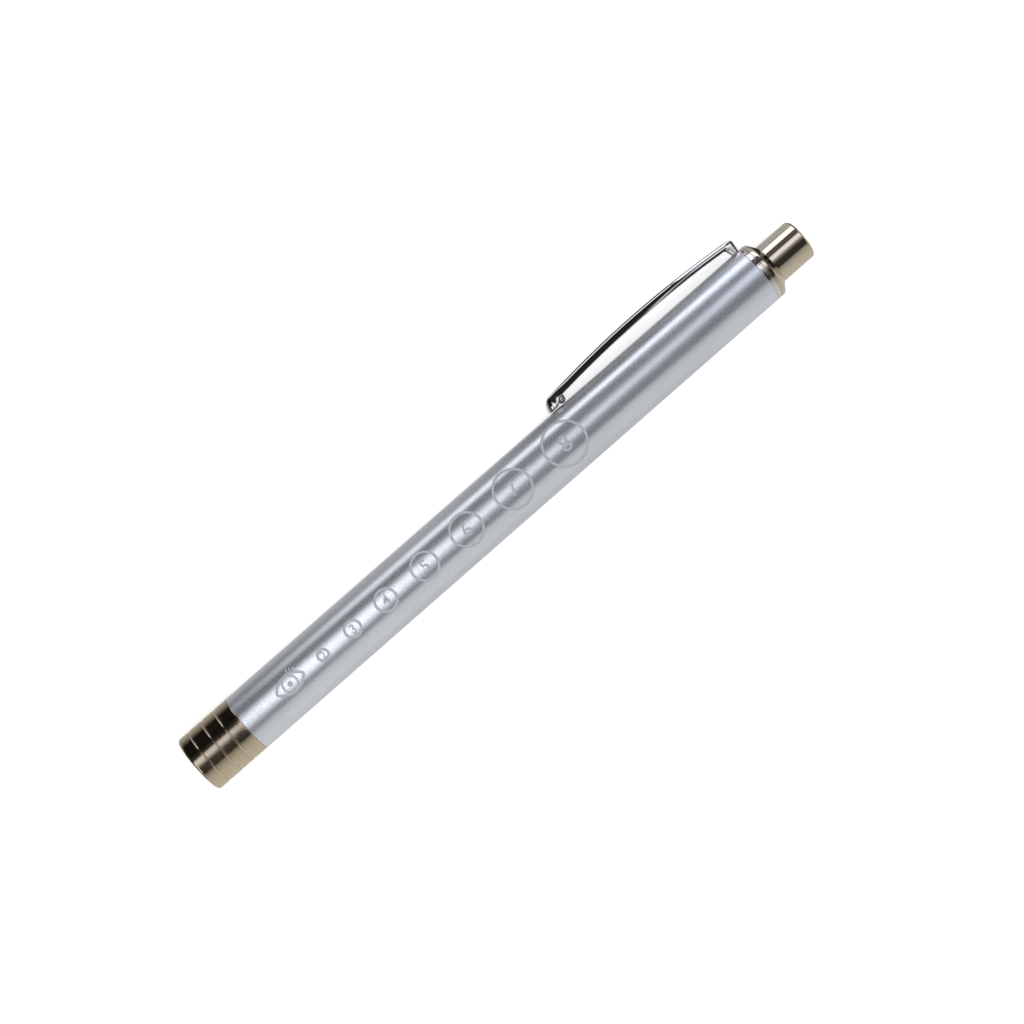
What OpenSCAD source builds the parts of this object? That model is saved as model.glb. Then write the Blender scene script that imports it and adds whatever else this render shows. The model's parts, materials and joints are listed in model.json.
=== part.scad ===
// Penlight with a plain tube barrel for two small cells, a grooved head that unscrews,
// a sprung pocket clip and a push button at the tail. Lengths are in millimetres.
// Each piece is drawn upright, with the front face of the lamp at height zero, the tail
// upwards and the clip towards +X. laid() then lays the piece down on barrel and clip,
// with the beam along +X, so the origin is the centre of the front face.

/* [Cells] */
// Outside diameter of one cell
cell_d = 10.5; // [10.1:0.1:11]
// Length of one cell with its pole
cell_length = 44.5; // [43:0.5:45.5]
// Diameter of the positive pole
cell_pole_d = 3.8; // [3:0.1:5]
// Height of the positive pole
cell_pole_h = 0.8; // [0.5:0.1:1.2]
// Thickness of the printed wrap
cell_wrap_t = 0.1; // [0.05:0.05:0.2]
// Width of the plastic seal round the negative end plate
cell_seal_width = 0.75; // [0.4:0.05:1.5]
// Depth of that seal
cell_seal_t = 0.4; // [0.3:0.1:1]
// How far the negative plate stands proud of the seal
cell_base_proud = 0.1; // [0.05:0.05:0.2]

/* [Barrel] */
// Room between a cell and the wall of the barrel
cell_clearance = 0.1; // [0.05:0.05:0.3]
// Wall of the barrel tube
barrel_wall = 0.4; // [0.35:0.05:0.6]
// Chamfer on both ends of the barrel
barrel_chamfer = 0.12; // [0.05:0.01:0.15]
// Depth of the thread cut into the front of the bore
thread_depth = 0.15; // [0.1:0.01:0.16]

/* [Head] */
// Length of the head in front of the barrel
head_length = 11.45; // [10:0.05:16]
// Rounding of the front edge
head_edge_r = 0.65; // [0.3:0.05:0.8]
// Number of grip grooves
groove_count = 3; // [1:1:5]
// Width of a grip groove
groove_width = 0.5; // [0.3:0.05:0.8]
// Depth of a grip groove
groove_depth = 0.2; // [0.1:0.05:0.35]
// Front face to the middle of the first groove
groove_first = 2.7; // [2:0.05:3]
// Middle of the first groove to the middle of the last
groove_span = 5.86; // [4:0.02:7]
// Length of the threaded shank inside the barrel
shank_length = 4.5; // [4:0.1:5.5]
// Play between the shank and the barrel
shank_clearance = 0.05; // [0.02:0.01:0.08]
// Wall of the head round its bore
head_wall = 0.95; // [0.8:0.05:1.2]
// Depth of the lip in front of the lens
lip_t = 0.9; // [0.6:0.05:1.2]
// How far the lip reaches in over the lens
lip_width = 0.7; // [0.4:0.05:1.2]
// Section diameter of the seal on the shank
head_seal_d = 0.54; // [0.4:0.02:0.6]
// Shoulder of the head to the middle of its seal
head_seal_setback = 0.85; // [0.6:0.05:1.2]

/* [Lamp] */
// Play between loose pieces inside the head
lamp_clearance = 0.05; // [0.02:0.01:0.08]
// Thickness of the ring behind the lip
gasket_t = 0.4; // [0.2:0.05:0.6]
// Thickness of the lens
lens_t = 1; // [0.6:0.1:1.4]
// Rim left around the mouth of the reflector
reflector_rim = 0.35; // [0.2:0.05:0.6]
// Diameter of the lamp body
led_d = 5; // [4.6:0.1:5.2]
// Height of the lamp body with its dome
led_height = 8.6; // [7.6:0.1:9]
// How far the flange at the base of the lamp stands out
led_flange_out = 0.4; // [0.3:0.05:0.6]
// Thickness of that flange
led_flange_t = 1; // [0.6:0.1:1.4]
// Length of the leads behind the lamp
lead_length = 1.2; // [1:0.05:2]
// Side of a lamp lead
lead_side = 0.5; // [0.3:0.05:0.6]
// Distance between the two leads
lead_pitch = 2.54; // [2:0.02:3]
// Air between the reflector and the lamp holder
holder_gap = 0.1; // [0.05:0.05:0.3]
// How far the lamp sits inside its holder
holder_length = 4.5; // [3:0.1:5.5]
// Plastic behind the flange of the lamp
holder_back = 0.6; // [0.4:0.05:0.7]
// Wall of the contact sleeve
sleeve_wall = 0.35; // [0.25:0.05:0.5]
// Thickness of the sleeve's flange
sleeve_flange_t = 0.55; // [0.3:0.05:0.7]
// Room round the sleeve's flange
sleeve_flange_gap = 0.1; // [0.05:0.05:0.2]
// Thickness of the insulating disc
insulator_t = 1.2; // [0.8:0.1:1.3]
// Diameter of the stem of the centre contact
contact_stem_d = 2.4; // [2:0.1:3]
// How far that stem stands out in front of the insulating disc
contact_stem_out = 0.8; // [0.5:0.05:1.4]
// Diameter of the head of the centre contact
contact_head_d = 4.4; // [3.4:0.1:5]
// Thickness of the head of the centre contact
contact_head_t = 0.4; // [0.3:0.05:0.6]

/* [Tail] */
// Thickness of the clip's ring
ring_t = 0.9; // [0.6:0.05:1.2]
// Length of the collar behind the ring
collar_length = 2.1; // [1.8:0.05:3]
// Straight part of the collar before it tapers
collar_straight = 0.75; // [0.4:0.05:0.9]
// Width of the lip round the button
collar_lip = 0.12; // [0.08:0.02:0.3]
// Play between the collar's shank and the barrel
collar_clearance = 0.05; // [0.02:0.01:0.1]
// Wall of the collar round the button's flange
collar_wall = 0.6; // [0.4:0.05:0.8]
// Length of the bore that guides the button
guide_length = 6.85; // [5.5:0.05:8]
// Section diameter of the tail seal
tail_seal_d = 0.72; // [0.5:0.02:0.8]
// Front of the ring to the middle of the tail seal
tail_seal_setback = 1.9; // [1.5:0.05:2.4]

/* [Button] */
// How far the button stands out of the collar
button_out = 7.45; // [5:0.05:9]
// Wall of the button
button_wall = 0.7; // [0.5:0.05:0.9]
// Thickness of the button's end
button_end_t = 1; // [0.7:0.1:1.6]
// Chamfer round the button's end
button_chamfer = 0.35; // [0.2:0.05:0.5]
// Running clearance of the button in the collar
button_clearance = 0.05; // [0.02:0.01:0.09]
// How far the button's flange stands out
button_flange_out = 0.57; // [0.4:0.01:0.6]
// Thickness of that flange
button_flange_t = 1; // [0.6:0.1:1.4]
// Play round that flange
button_flange_clearance = 0.1; // [0.05:0.01:0.15]
// Travel of the button
button_travel = 2.8; // [2:0.1:3]
// Air left under the flange when the button is pressed
button_stop_gap = 0.2; // [0.1:0.05:0.4]
// Thickness of the plunger's flange
plunger_flange_t = 1; // [0.6:0.1:1.6]
// Back of the button's flange to the front of the plunger's flange
plunger_seat = 2; // [1:0.1:4]
// Air between plunger and rivet when the button is pressed
plunger_gap = 0.1; // [0.05:0.05:0.2]

/* [Switch] */
// Length of the switch body
switch_length = 9.2; // [8.5:0.1:10]
// Thickness of the switch body's floor
switch_floor = 4.5; // [3.5:0.1:5]
// Wall of the switch body
switch_wall = 1.3; // [0.8:0.1:1.5]
// Play between the switch body and the barrel
switch_clearance = 0.02; // [0.01:0.01:0.05]
// Play of rivet and plunger in the floor
switch_bore_clearance = 0.1; // [0.05:0.01:0.15]
// Thickness of the contact plate
plate_t = 0.5; // [0.3:0.05:0.8]
// Room round the contact plate
plate_gap = 0.85; // [0.4:0.05:1.4]
// Length of the rivet on the contact plate
rivet_length = 3.7; // [2.5:0.1:4.2]

/* [Springs] */
// Wire of the cell spring
cell_spring_wire = 0.6; // [0.4:0.05:0.7]
// Length of the cell spring with both cells in
cell_spring_length = 10.4; // [8:0.2:14]
// Rim of the contact plate outside the cell spring
cell_spring_rim = 0.4; // [0.2:0.05:1]
// Coil diameter of the cell spring where it meets the cell
cell_spring_narrow_d = 5; // [4:0.1:6]
// Turns of the cell spring
cell_spring_turns = 6; // [4:0.5:7]
// Wire of the return spring
return_spring_wire = 0.45; // [0.3:0.05:0.5]
// Room between the return spring and the bore of the button
return_spring_clearance = 0.5; // [0.3:0.05:0.7]
// Room between the return spring and the plunger
plunger_clearance = 0.93; // [0.6:0.01:1.2]
// Turns of the return spring
return_spring_turns = 7; // [4:0.5:8]

/* [Clip] */
// Width of the clip
clip_width = 3.4; // [2.6:0.1:4]
// Sheet that the clip is folded from
clip_sheet = 0.45; // [0.3:0.05:0.5]
// Depth of the clip's folded sides
clip_depth = 1.35; // [1.1:0.05:1.6]
// Height of the clip over the barrel where it turns down
clip_bend_h = 2.9; // [2.5:0.05:3.4]
// How far the clip bows out between its bend and its nose
clip_bow_rise = 1.15; // [0.8:0.05:1.8]
// Outer radius of the bend
clip_bend_r = 0.95; // [0.8:0.05:1]
// Front of the ring to the back of the clip's foot
clip_foot_back = 0.55; // [0.45:0.05:0.6]
// Length of the clip from the foot to the tip
clip_length = 45.4; // [36:0.2:56]
// Radius of the nose
clip_nose_r = 2.1; // [1.8:0.05:2.2]
// Straight part of the nose under its round
clip_nose_lip = 0.5; // [0.3:0.05:0.7]
// Gap between the nose and the barrel
clip_nose_gap = 0.3; // [0.2:0.05:0.5]
// Length of the nose's deep sides
clip_nose_length = 2.9; // [2.7:0.05:3.2]
// Radius of the boss that presses on the cloth
clip_boss_r = 0.8; // [0.6:0.05:0.9]
// Tip of the clip to the middle of the boss
clip_boss_setback = 3.27; // [3:0.01:3.6]
// Air between boss and barrel
clip_boss_gap = 0.05; // [0.02:0.01:0.2]
// Play round the hinge line of the clip
clip_hinge_clearance = 0.04; // [0.02:0.01:0.06]
// Room between the foot's folded sides and the barrel
clip_foot_gap = 0.1; // [0.05:0.05:0.2]
// Width of the foot's folded sides near the barrel
clip_foot_width = 1.27; // [1:0.01:1.6]
// Width of the relief notch beside the foot
clip_notch_width = 1.9; // [1:0.1:2.4]
// Depth of that notch
clip_notch_depth = 0.5; // [0.3:0.05:0.6]

/* [Hidden] */
$fn = 72;

// Cuts run past the faces they open by this much
overrun = 0.1;
// Points along one rounded edge, along the clip's nose and bow, and along the reflector
edge_steps = 8;
nose_steps = 12;
bow_steps = 24;
reflector_steps = 10;
// Rings in one turn of a spring, and sides of its wire
coil_rings = 8;
coil_sides = 6;

// Radii that every other piece is fitted to
cell_r = cell_d / 2;
cell_can_r = cell_r - cell_wrap_t;
cell_base_r = cell_can_r - cell_seal_width;
bore_r = cell_r + cell_clearance;
barrel_r = bore_r + barrel_wall;
thread_r = bore_r + thread_depth;
shank_r = thread_r - shank_clearance;
head_bore_r = shank_r - head_wall;
window_r = head_bore_r - lip_width;
lamp_r = head_bore_r - lamp_clearance;
groove_pitch = groove_span / max(groove_count - 1, 1);

// Heights through the lens, and through the lamp from the end of the shank forwards
gasket_z = lip_t;
lens_z = gasket_z + gasket_t;
reflector_z = lens_z + lens_t;
shank_end_z = head_length + shank_length;
sleeve_end_z = shank_end_z + sleeve_flange_t;
insulator_z = sleeve_end_z - insulator_t;
contact_z = insulator_z - contact_stem_out;
led_base_z = contact_z - lead_length;
led_z = led_base_z - led_height;
holder_z = led_base_z - holder_length;
throat_z = holder_z - holder_gap;
sleeve_z = led_base_z + holder_back;
led_r = led_d / 2;
led_flange_r = led_r + led_flange_out;
sleeve_bore_r = lamp_r - sleeve_wall;
sleeve_flange_r = bore_r - sleeve_flange_gap;
spigot_r = sleeve_bore_r - lamp_clearance;
contact_stem_r = contact_stem_d / 2;

// Heights from the cells back to the button
front_cell_z = sleeve_end_z + contact_head_t;
rear_cell_z = front_cell_z + cell_length;
cells_end_z = rear_cell_z + cell_length;
plate_z = cells_end_z + cell_spring_length;
switch_z = plate_z + plate_t;
switch_floor_z = switch_z + switch_floor;
rivet_end_z = switch_z + rivet_length;
plunger_tip_z = rivet_end_z + plunger_gap + button_travel;
collar_foot_z = switch_z + switch_length;
button_foot_z = collar_foot_z + button_travel + button_stop_gap;
shoulder_z = button_foot_z + button_flange_t;
plunger_flange_z = shoulder_z + plunger_seat;
collar_end_z = shoulder_z + guide_length;
collar_z = collar_end_z - collar_length;
ring_z = collar_z - ring_t;
button_end_z = collar_end_z + button_out;

// Radii from the bore of the barrel in to the plunger
collar_shank_r = bore_r - collar_clearance;
counterbore_r = collar_shank_r - collar_wall;
button_flange_r = counterbore_r - button_flange_clearance;
button_r = button_flange_r - button_flange_out;
button_bore_r = button_r - button_wall;
guide_r = button_r + button_clearance;
return_spring_r = button_bore_r - return_spring_clearance - return_spring_wire / 2;
plunger_r = return_spring_r - return_spring_wire / 2 - plunger_clearance;
switch_r = bore_r - switch_clearance;
switch_bore_r = switch_r - switch_wall;
rivet_bore_r = plunger_r + switch_bore_clearance;
plate_r = bore_r - plate_gap;
cell_spring_wide_r = plate_r - cell_spring_rim - cell_spring_wire / 2;

// Lines of the clip, as seen from its side
clip_bend_x = barrel_r + clip_bend_h;
clip_back_z = ring_z + clip_foot_back;
hinge_x = clip_bend_x - clip_bend_r;
hinge_z = clip_back_z - clip_bend_r;
foot_x = barrel_r + clip_foot_gap;
foot_root_x = (3 * collar_shank_r + barrel_r) / 4;
clip_tip_z = clip_back_z - clip_length;
nose_floor_x = barrel_r + clip_nose_gap;
nose_x = nose_floor_x + clip_nose_lip;
nose_z = clip_tip_z + clip_nose_r;
nose_end_z = clip_tip_z + clip_nose_length + clip_depth;
boss_x = barrel_r + clip_boss_gap + clip_boss_r;
boss_z = clip_tip_z + clip_boss_setback;

// The bow is an arc from the top of the nose to the bend that rises between them
bow_from = [nose_x + clip_nose_r, nose_z];
bow_to = [clip_bend_x, hinge_z];
bow_chord = norm(bow_to - bow_from);
clip_bow_r = (pow(bow_chord / 2, 2) + pow(clip_bow_rise, 2)) / (2 * clip_bow_rise);
bow_out = [bow_to[1] - bow_from[1], bow_from[0] - bow_to[0]] / bow_chord;
bow_centre = (bow_from + bow_to) / 2 - (clip_bow_r - clip_bow_rise) * bow_out;
clip_crown_x = bow_centre[0] + clip_bow_r;

// The penlight rests on its barrel and on one edge of the clip's crown
lie_reach = sqrt(pow(clip_crown_x, 2) + pow(clip_width / 2, 2));
lie_angle = asin(barrel_r / lie_reach) - atan(clip_width / 2 / clip_crown_x);

echo(overall_length = button_end_z, barrel_diameter = 2 * barrel_r, lie_angle = lie_angle);
echo(hinge_x = hinge_x, hinge_z = hinge_z, crown_x = clip_crown_x, boss_z = boss_z);
echo(barrel_length = ring_z - head_length, lamp_setback = led_z - reflector_z);

// Points of an arc about a centre, from one angle to another
function arc(centre_x, centre_y, r, from, to, steps) = [
    for (i = [0 : steps])
        let (a = from + (to - from) * i / steps)
        [centre_x + r * cos(a), centre_y + r * sin(a)]
];

// Distance of the clip's outer face from the axis at one height, less a depth into the sheet
function bow_x(z, depth = 0) =
    bow_centre[0] + sqrt(pow(clip_bow_r - depth, 2) - pow(z - bow_centre[1], 2));

// Laid down: tail towards -X, clip down and towards -Y, so that barrel and clip touch the table
module laid() {
    rotate([90 + lie_angle, 0, 0])
        rotate([0, -90, 0])
            children();
}

// A plain ring between two radii and two heights
module ring(inner_r, outer_r, from_z, to_z) {
    rotate_extrude()
        translate([inner_r, from_z])
            square([outer_r - inner_r, to_z - from_z]);
}

// A plain round between two heights
module disc(r, from_z, to_z) {
    translate([0, 0, from_z])
        cylinder(h = to_z - from_z, r = r);
}

// A seal ring of round section, its outside on outer_r
module seal_ring(outer_r, section_r, z) {
    rotate_extrude()
        translate([outer_r - section_r, z])
            circle(r = section_r);
}

// Anodised tube: plain bore, threaded recess at the front, a chamfer at each end
module barrel() {
    recess_z = sleeve_end_z + barrel_chamfer;
    color("silver")
        laid()
            rotate_extrude()
                polygon([
                    [thread_r, head_length],
                    [barrel_r - barrel_chamfer, head_length],
                    [barrel_r, head_length + barrel_chamfer],
                    [barrel_r, ring_z - barrel_chamfer],
                    [barrel_r - barrel_chamfer, ring_z],
                    [bore_r, ring_z],
                    [bore_r, recess_z],
                    [thread_r, recess_z]
                ]);
}

// Middle of one grip groove
function groove_z(i) = groove_first + i * groove_pitch;

// Plated head: rounded front edge, grip grooves, and a shank with a groove for its seal
module head_shell() {
    seal_r = head_seal_d / 2;
    seal_z = head_length + head_seal_setback;
    seal_floor_r = thread_r - shank_clearance / 2 - head_seal_d;
    grooves = [
        for (i = [0 : groove_count - 1]) each [
            [barrel_r, groove_z(i) - groove_width / 2],
            [barrel_r - groove_depth, groove_z(i) - groove_width / 4],
            [barrel_r - groove_depth, groove_z(i) + groove_width / 4],
            [barrel_r, groove_z(i) + groove_width / 2]
        ]
    ];
    color("tan")
        laid()
            rotate_extrude()
                polygon(concat(
                    [[window_r, 0]],
                    arc(barrel_r - head_edge_r, head_edge_r, head_edge_r, -90, 0, edge_steps),
                    grooves,
                    [
                        [barrel_r, head_length - barrel_chamfer],
                        [barrel_r - barrel_chamfer, head_length],
                        [shank_r, head_length],
                        [shank_r, seal_z - seal_r],
                        [seal_floor_r, seal_z - seal_r],
                        [seal_floor_r, seal_z + seal_r],
                        [shank_r, seal_z + seal_r],
                        [shank_r, shank_end_z - barrel_chamfer],
                        [shank_r - barrel_chamfer, shank_end_z],
                        [head_bore_r, shank_end_z],
                        [head_bore_r, lip_t],
                        [window_r, lip_t]
                    ]
                ));
}

// Rubber ring that seals the head against the barrel's bore
module head_seal_ring() {
    color("black")
        laid()
            seal_ring(thread_r - shank_clearance / 2, head_seal_d / 2, head_length + head_seal_setback);
}

// Clear flat lens behind the lip
module lens() {
    color("lightcyan")
        laid()
            disc(lamp_r, lens_z, reflector_z);
}

// Flat ring between the lip and the lens
module lens_gasket() {
    color("dimgray")
        laid()
            ring(window_r, lamp_r, gasket_z, lens_z);
}

// Bright dish round the lamp: the bore widens as a parabola towards the lens
module reflector() {
    throat_r = led_r + lamp_clearance;
    mouth_r = lamp_r - reflector_rim;
    dish = [
        for (i = [0 : reflector_steps])
            let (share = i / reflector_steps)
            [
                sqrt(pow(throat_r, 2) + (pow(mouth_r, 2) - pow(throat_r, 2)) * share),
                throat_z - (throat_z - reflector_z) * share
            ]
    ];
    color("gainsboro")
        laid()
            rotate_extrude()
                polygon(concat(dish, [[lamp_r, reflector_z], [lamp_r, throat_z]]));
}

// Clear lamp body with a dome in front and a flange at its base
module led_body() {
    color("white")
        laid()
            union() {
                translate([0, 0, led_z + led_r])
                    sphere(r = led_r);
                disc(led_r, led_z + led_r, led_base_z);
                disc(led_flange_r, led_base_z - led_flange_t, led_base_z);
            }
}

// Two leads: one turns in to the centre contact, the other out to the contact sleeve
module led_leads() {
    turn_z = contact_z - lead_side;
    inner_y = lead_pitch / 2;
    color("lightgray")
        laid()
            union() {
                for (side = [-1, 1])
                    translate([-lead_side / 2, side * inner_y - lead_side / 2, led_base_z])
                        cube([lead_side, lead_side, lead_length]);
                translate([-lead_side / 2, -inner_y, turn_z])
                    cube([lead_side, inner_y - contact_stem_r / 2, lead_side]);
                translate([-lead_side / 2, inner_y, turn_z])
                    cube([lead_side, spigot_r - inner_y, lead_side]);
            }
}

// White bush that holds the lamp straight in the head
module lamp_holder() {
    flange_z = led_base_z - led_flange_t;
    flange_bore_r = led_flange_r + lamp_clearance;
    color("ivory")
        laid()
            rotate_extrude()
                polygon([
                    [led_r + lamp_clearance, holder_z],
                    [lamp_r, holder_z],
                    [lamp_r, sleeve_z],
                    [spigot_r, sleeve_z],
                    [spigot_r, led_base_z],
                    [flange_bore_r, led_base_z],
                    [flange_bore_r, flange_z],
                    [led_r + lamp_clearance, flange_z]
                ]);
}

// Brass sleeve whose flange carries the current into the end of the shank
module contact_sleeve() {
    color("goldenrod")
        laid()
            rotate_extrude()
                polygon([
                    [sleeve_bore_r, sleeve_z],
                    [lamp_r, sleeve_z],
                    [lamp_r, shank_end_z],
                    [sleeve_flange_r, shank_end_z],
                    [sleeve_flange_r, sleeve_end_z],
                    [sleeve_bore_r, sleeve_end_z]
                ]);
}

// Fibre disc that keeps the centre contact away from the sleeve
module contact_insulator() {
    color("saddlebrown")
        laid()
            ring(contact_stem_r, spigot_r, insulator_z, sleeve_end_z);
}

// Stud that meets the pole of the front cell
module centre_contact() {
    color("gold")
        laid()
            union() {
                disc(contact_stem_r, contact_z, sleeve_end_z);
                disc(contact_head_d / 2, sleeve_end_z, front_cell_z);
            }
}

// Steel can with its pole in front
module cell_can(z) {
    color("gray")
        laid()
            union() {
                disc(cell_pole_d / 2, z, z + cell_pole_h);
                disc(cell_can_r, z + cell_pole_h, z + cell_length - cell_seal_t - cell_base_proud);
            }
}

// Printed wrap round the can
module cell_wrap(z) {
    color("steelblue")
        laid()
            ring(cell_can_r, cell_r, z + cell_pole_h, z + cell_length - cell_base_proud);
}

// Plastic seal round the negative plate
module cell_seal(z) {
    back_z = z + cell_length - cell_base_proud;
    color("darkslategray")
        laid()
            ring(cell_base_r, cell_can_r, back_z - cell_seal_t, back_z);
}

// Negative plate
module cell_base(z) {
    color("lightgray")
        laid()
            disc(cell_base_r, z + cell_length - cell_seal_t - cell_base_proud, z + cell_length);
}

// Centre line of a wound spring: one point for each step of a turn
function coil_points(foot_r, top_r, foot_z, top_z, turns) = [
    for (i = [0 : turns * coil_rings])
        let (
            share = i / (turns * coil_rings),
            turn = 360 * i / coil_rings,
            r = foot_r + (top_r - foot_r) * share
        )
        [r * cos(turn), r * sin(turn), foot_z + (top_z - foot_z) * share]
];

// Least distance between points one turn apart, less the wire
function coil_gap(points, wire) = min([
    for (i = [0 : len(points) - coil_rings - 1])
        for (j = [coil_rings - 1 : coil_rings + 1])
            if (i + j < len(points)) norm(points[i + j] - points[i]) - wire
]);

// Round wire wound along a list of points about the Z axis
module wound_wire(points, wire) {
    last = len(points) - 1;
    skin = [
        for (i = [0 : last])
            let (
                ahead = points[min(i + 1, last)] - points[max(i - 1, 0)],
                out = [points[i][0], points[i][1], 0] / norm([points[i][0], points[i][1]]),
                up = cross(ahead, out) / norm(cross(ahead, out))
            )
            for (j = [0 : coil_sides - 1])
                let (a = 360 * j / coil_sides)
                points[i] + wire / 2 * (cos(a) * out + sin(a) * up)
    ];
    walls = [
        for (i = [0 : last - 1])
            for (j = [0 : coil_sides - 1])
                let (
                    a = i * coil_sides + j,
                    b = i * coil_sides + (j + 1) % coil_sides
                )
                each [[a, b, b + coil_sides], [a, b + coil_sides, a + coil_sides]]
    ];
    caps = [
        for (j = [1 : coil_sides - 2])
            each [
                [0, j + 1, j],
                [last * coil_sides, last * coil_sides + j, last * coil_sides + j + 1]
            ]
    ];
    polyhedron(points = skin, faces = concat(walls, caps));
}

cell_spring_points = coil_points(
    cell_spring_narrow_d / 2, cell_spring_wide_r,
    cells_end_z + cell_spring_wire / 2, plate_z - cell_spring_wire / 2,
    cell_spring_turns
);
return_spring_points = coil_points(
    return_spring_r, return_spring_r,
    switch_floor_z + return_spring_wire / 2, plunger_flange_z - return_spring_wire / 2,
    return_spring_turns
);
echo(cell_spring_gap = coil_gap(cell_spring_points, cell_spring_wire));
echo(return_spring_gap = coil_gap(return_spring_points, return_spring_wire));

// Tapered spring between the rear cell and the contact plate
module cell_spring() {
    color("silver")
        laid()
            wound_wire(cell_spring_points, cell_spring_wire);
}

// Spring that pushes the button out again
module return_spring() {
    color("silver")
        laid()
            wound_wire(return_spring_points, return_spring_wire);
}

// Plate under the cell spring, riveted through the floor of the switch body
module contact_plate() {
    color("goldenrod")
        laid()
            union() {
                disc(plate_r, plate_z, switch_z);
                disc(plunger_r, switch_z, rivet_end_z);
            }
}

// Black plastic cup pressed into the barrel's bore
module switch_body() {
    color("black")
        laid()
            rotate_extrude()
                polygon([
                    [rivet_bore_r, switch_z],
                    [switch_r, switch_z],
                    [switch_r, collar_foot_z],
                    [switch_bore_r, collar_foot_z],
                    [switch_bore_r, switch_floor_z],
                    [rivet_bore_r, switch_floor_z]
                ]);
}

// Brass plunger with a flange for the return spring
module plunger() {
    color("goldenrod")
        laid()
            union() {
                disc(plunger_r, plunger_tip_z, button_end_z - button_end_t);
                disc(button_bore_r, plunger_flange_z, plunger_flange_z + plunger_flange_t);
            }
}

// Plated push button: a cup with a flange that the collar holds back
module button() {
    roof_z = button_end_z - button_end_t;
    color("tan")
        laid()
            rotate_extrude()
                polygon([
                    [button_bore_r, button_foot_z],
                    [button_flange_r, button_foot_z],
                    [button_flange_r, shoulder_z],
                    [button_r, shoulder_z],
                    [button_r, button_end_z - button_chamfer],
                    [button_r - button_chamfer, button_end_z],
                    [0, button_end_z],
                    [0, roof_z],
                    [button_bore_r, roof_z]
                ]);
}

// Plated collar: its shank holds the clip's ring against the barrel and guides the button
module collar() {
    seal_r = tail_seal_d / 2;
    seal_z = ring_z - tail_seal_setback;
    seal_floor_r = bore_r - collar_clearance / 2 - tail_seal_d;
    edge_r = collar_length - collar_straight;
    lip_r = guide_r + collar_lip;
    color("tan")
        laid()
            rotate_extrude()
                polygon([
                    [guide_r, shoulder_z],
                    [counterbore_r, shoulder_z],
                    [counterbore_r, collar_foot_z],
                    [collar_shank_r, collar_foot_z],
                    [collar_shank_r, seal_z - seal_r],
                    [seal_floor_r, seal_z - seal_r],
                    [seal_floor_r, seal_z + seal_r],
                    [collar_shank_r, seal_z + seal_r],
                    [collar_shank_r, collar_z],
                    [barrel_r - barrel_chamfer, collar_z],
                    [barrel_r, collar_z + barrel_chamfer],
                    [barrel_r, collar_z + collar_straight - barrel_chamfer],
                    [barrel_r - barrel_chamfer, collar_z + collar_straight + barrel_chamfer],
                    [lip_r, collar_z + collar_straight + edge_r - barrel_chamfer / 2],
                    [lip_r - collar_lip / 2, collar_end_z],
                    [guide_r, collar_end_z]
                ]);
}

// Rubber ring in the collar's groove
module tail_seal_ring() {
    color("black")
        laid()
            seal_ring(bore_r - collar_clearance / 2, tail_seal_d / 2, ring_z - tail_seal_setback);
}

// A flat outline in the clip's side view, given as X and Z, spread evenly across a width
module side_plate(width) {
    rotate([90, 0, 0])
        translate([0, 0, -width / 2])
            linear_extrude(width)
                children();
}

// Ring, foot and bend of the clip; the bend is the round that the arm turns about
module clip_ring() {
    wing_y = clip_width / 2 - clip_sheet;
    web_z = clip_back_z - clip_sheet;
    color("lightgray")
        laid()
            union() {
                difference() {
                    ring(collar_shank_r, barrel_r, ring_z, collar_z);
                    for (side = [-1, 1])
                        translate([
                            barrel_r - clip_notch_depth,
                            side * (clip_width + clip_notch_width) / 2 - clip_notch_width / 2,
                            ring_z - overrun
                        ])
                            cube([clip_notch_depth + overrun, clip_notch_width, clip_foot_back + overrun]);
                }
                difference() {
                    side_plate(clip_width)
                        polygon([
                            [foot_root_x, ring_z],
                            [foot_x, ring_z],
                            [foot_x, clip_back_z - clip_foot_width],
                            [hinge_x, hinge_z - clip_bend_r],
                            [hinge_x, clip_back_z],
                            [foot_root_x, clip_back_z]
                        ]);
                    translate([foot_x - overrun, -wing_y, hinge_z - 2 * clip_bend_r])
                        cube([hinge_x - foot_x, 2 * wing_y, web_z - hinge_z + 2 * clip_bend_r]);
                }
                side_plate(clip_width)
                    translate([hinge_x, hinge_z])
                        circle(r = clip_bend_r);
            }
}

// Side view of the clip's arm: the bow, the round nose and the lower edges, drawn
// with the sheet's whole thickness (inset 0) or without it
module arm_outline(inset) {
    nose_r = clip_nose_r - inset;
    span_z = hinge_z - nose_z;
    bow = [
        for (i = [0 : bow_steps])
            let (z = hinge_z - span_z * i / bow_steps)
            [bow_x(z, inset), z]
    ];
    nose = [
        for (i = [1 : nose_steps])
            let (a = 90 * i / nose_steps)
            [nose_x + nose_r * cos(a), nose_z - nose_r * sin(a)]
    ];
    floor_x = nose_floor_x - (inset > 0 ? overrun : 0);
    lower = [
        for (i = [bow_steps : -1 : 0])
            let (z = hinge_z - (hinge_z - nose_end_z) * i / bow_steps)
            [bow_x(z) - clip_depth - (inset > 0 ? overrun : 0), z]
    ];
    polygon(concat(
        bow,
        nose,
        [[floor_x, clip_tip_z + inset], [floor_x, clip_tip_z + clip_nose_length]],
        lower
    ));
}

// View of the clip's arm from outside: straight sides and a round tip
module arm_plan(width, tip_z) {
    rotate([0, -90, 0])
        mirror([0, 0, 1])
            linear_extrude(clip_crown_x + overrun)
                union() {
                    translate([tip_z + width / 2, 0])
                        circle(r = width / 2);
                    translate([tip_z + width / 2, -width / 2])
                        square([clip_length, width]);
                }
}

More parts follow.
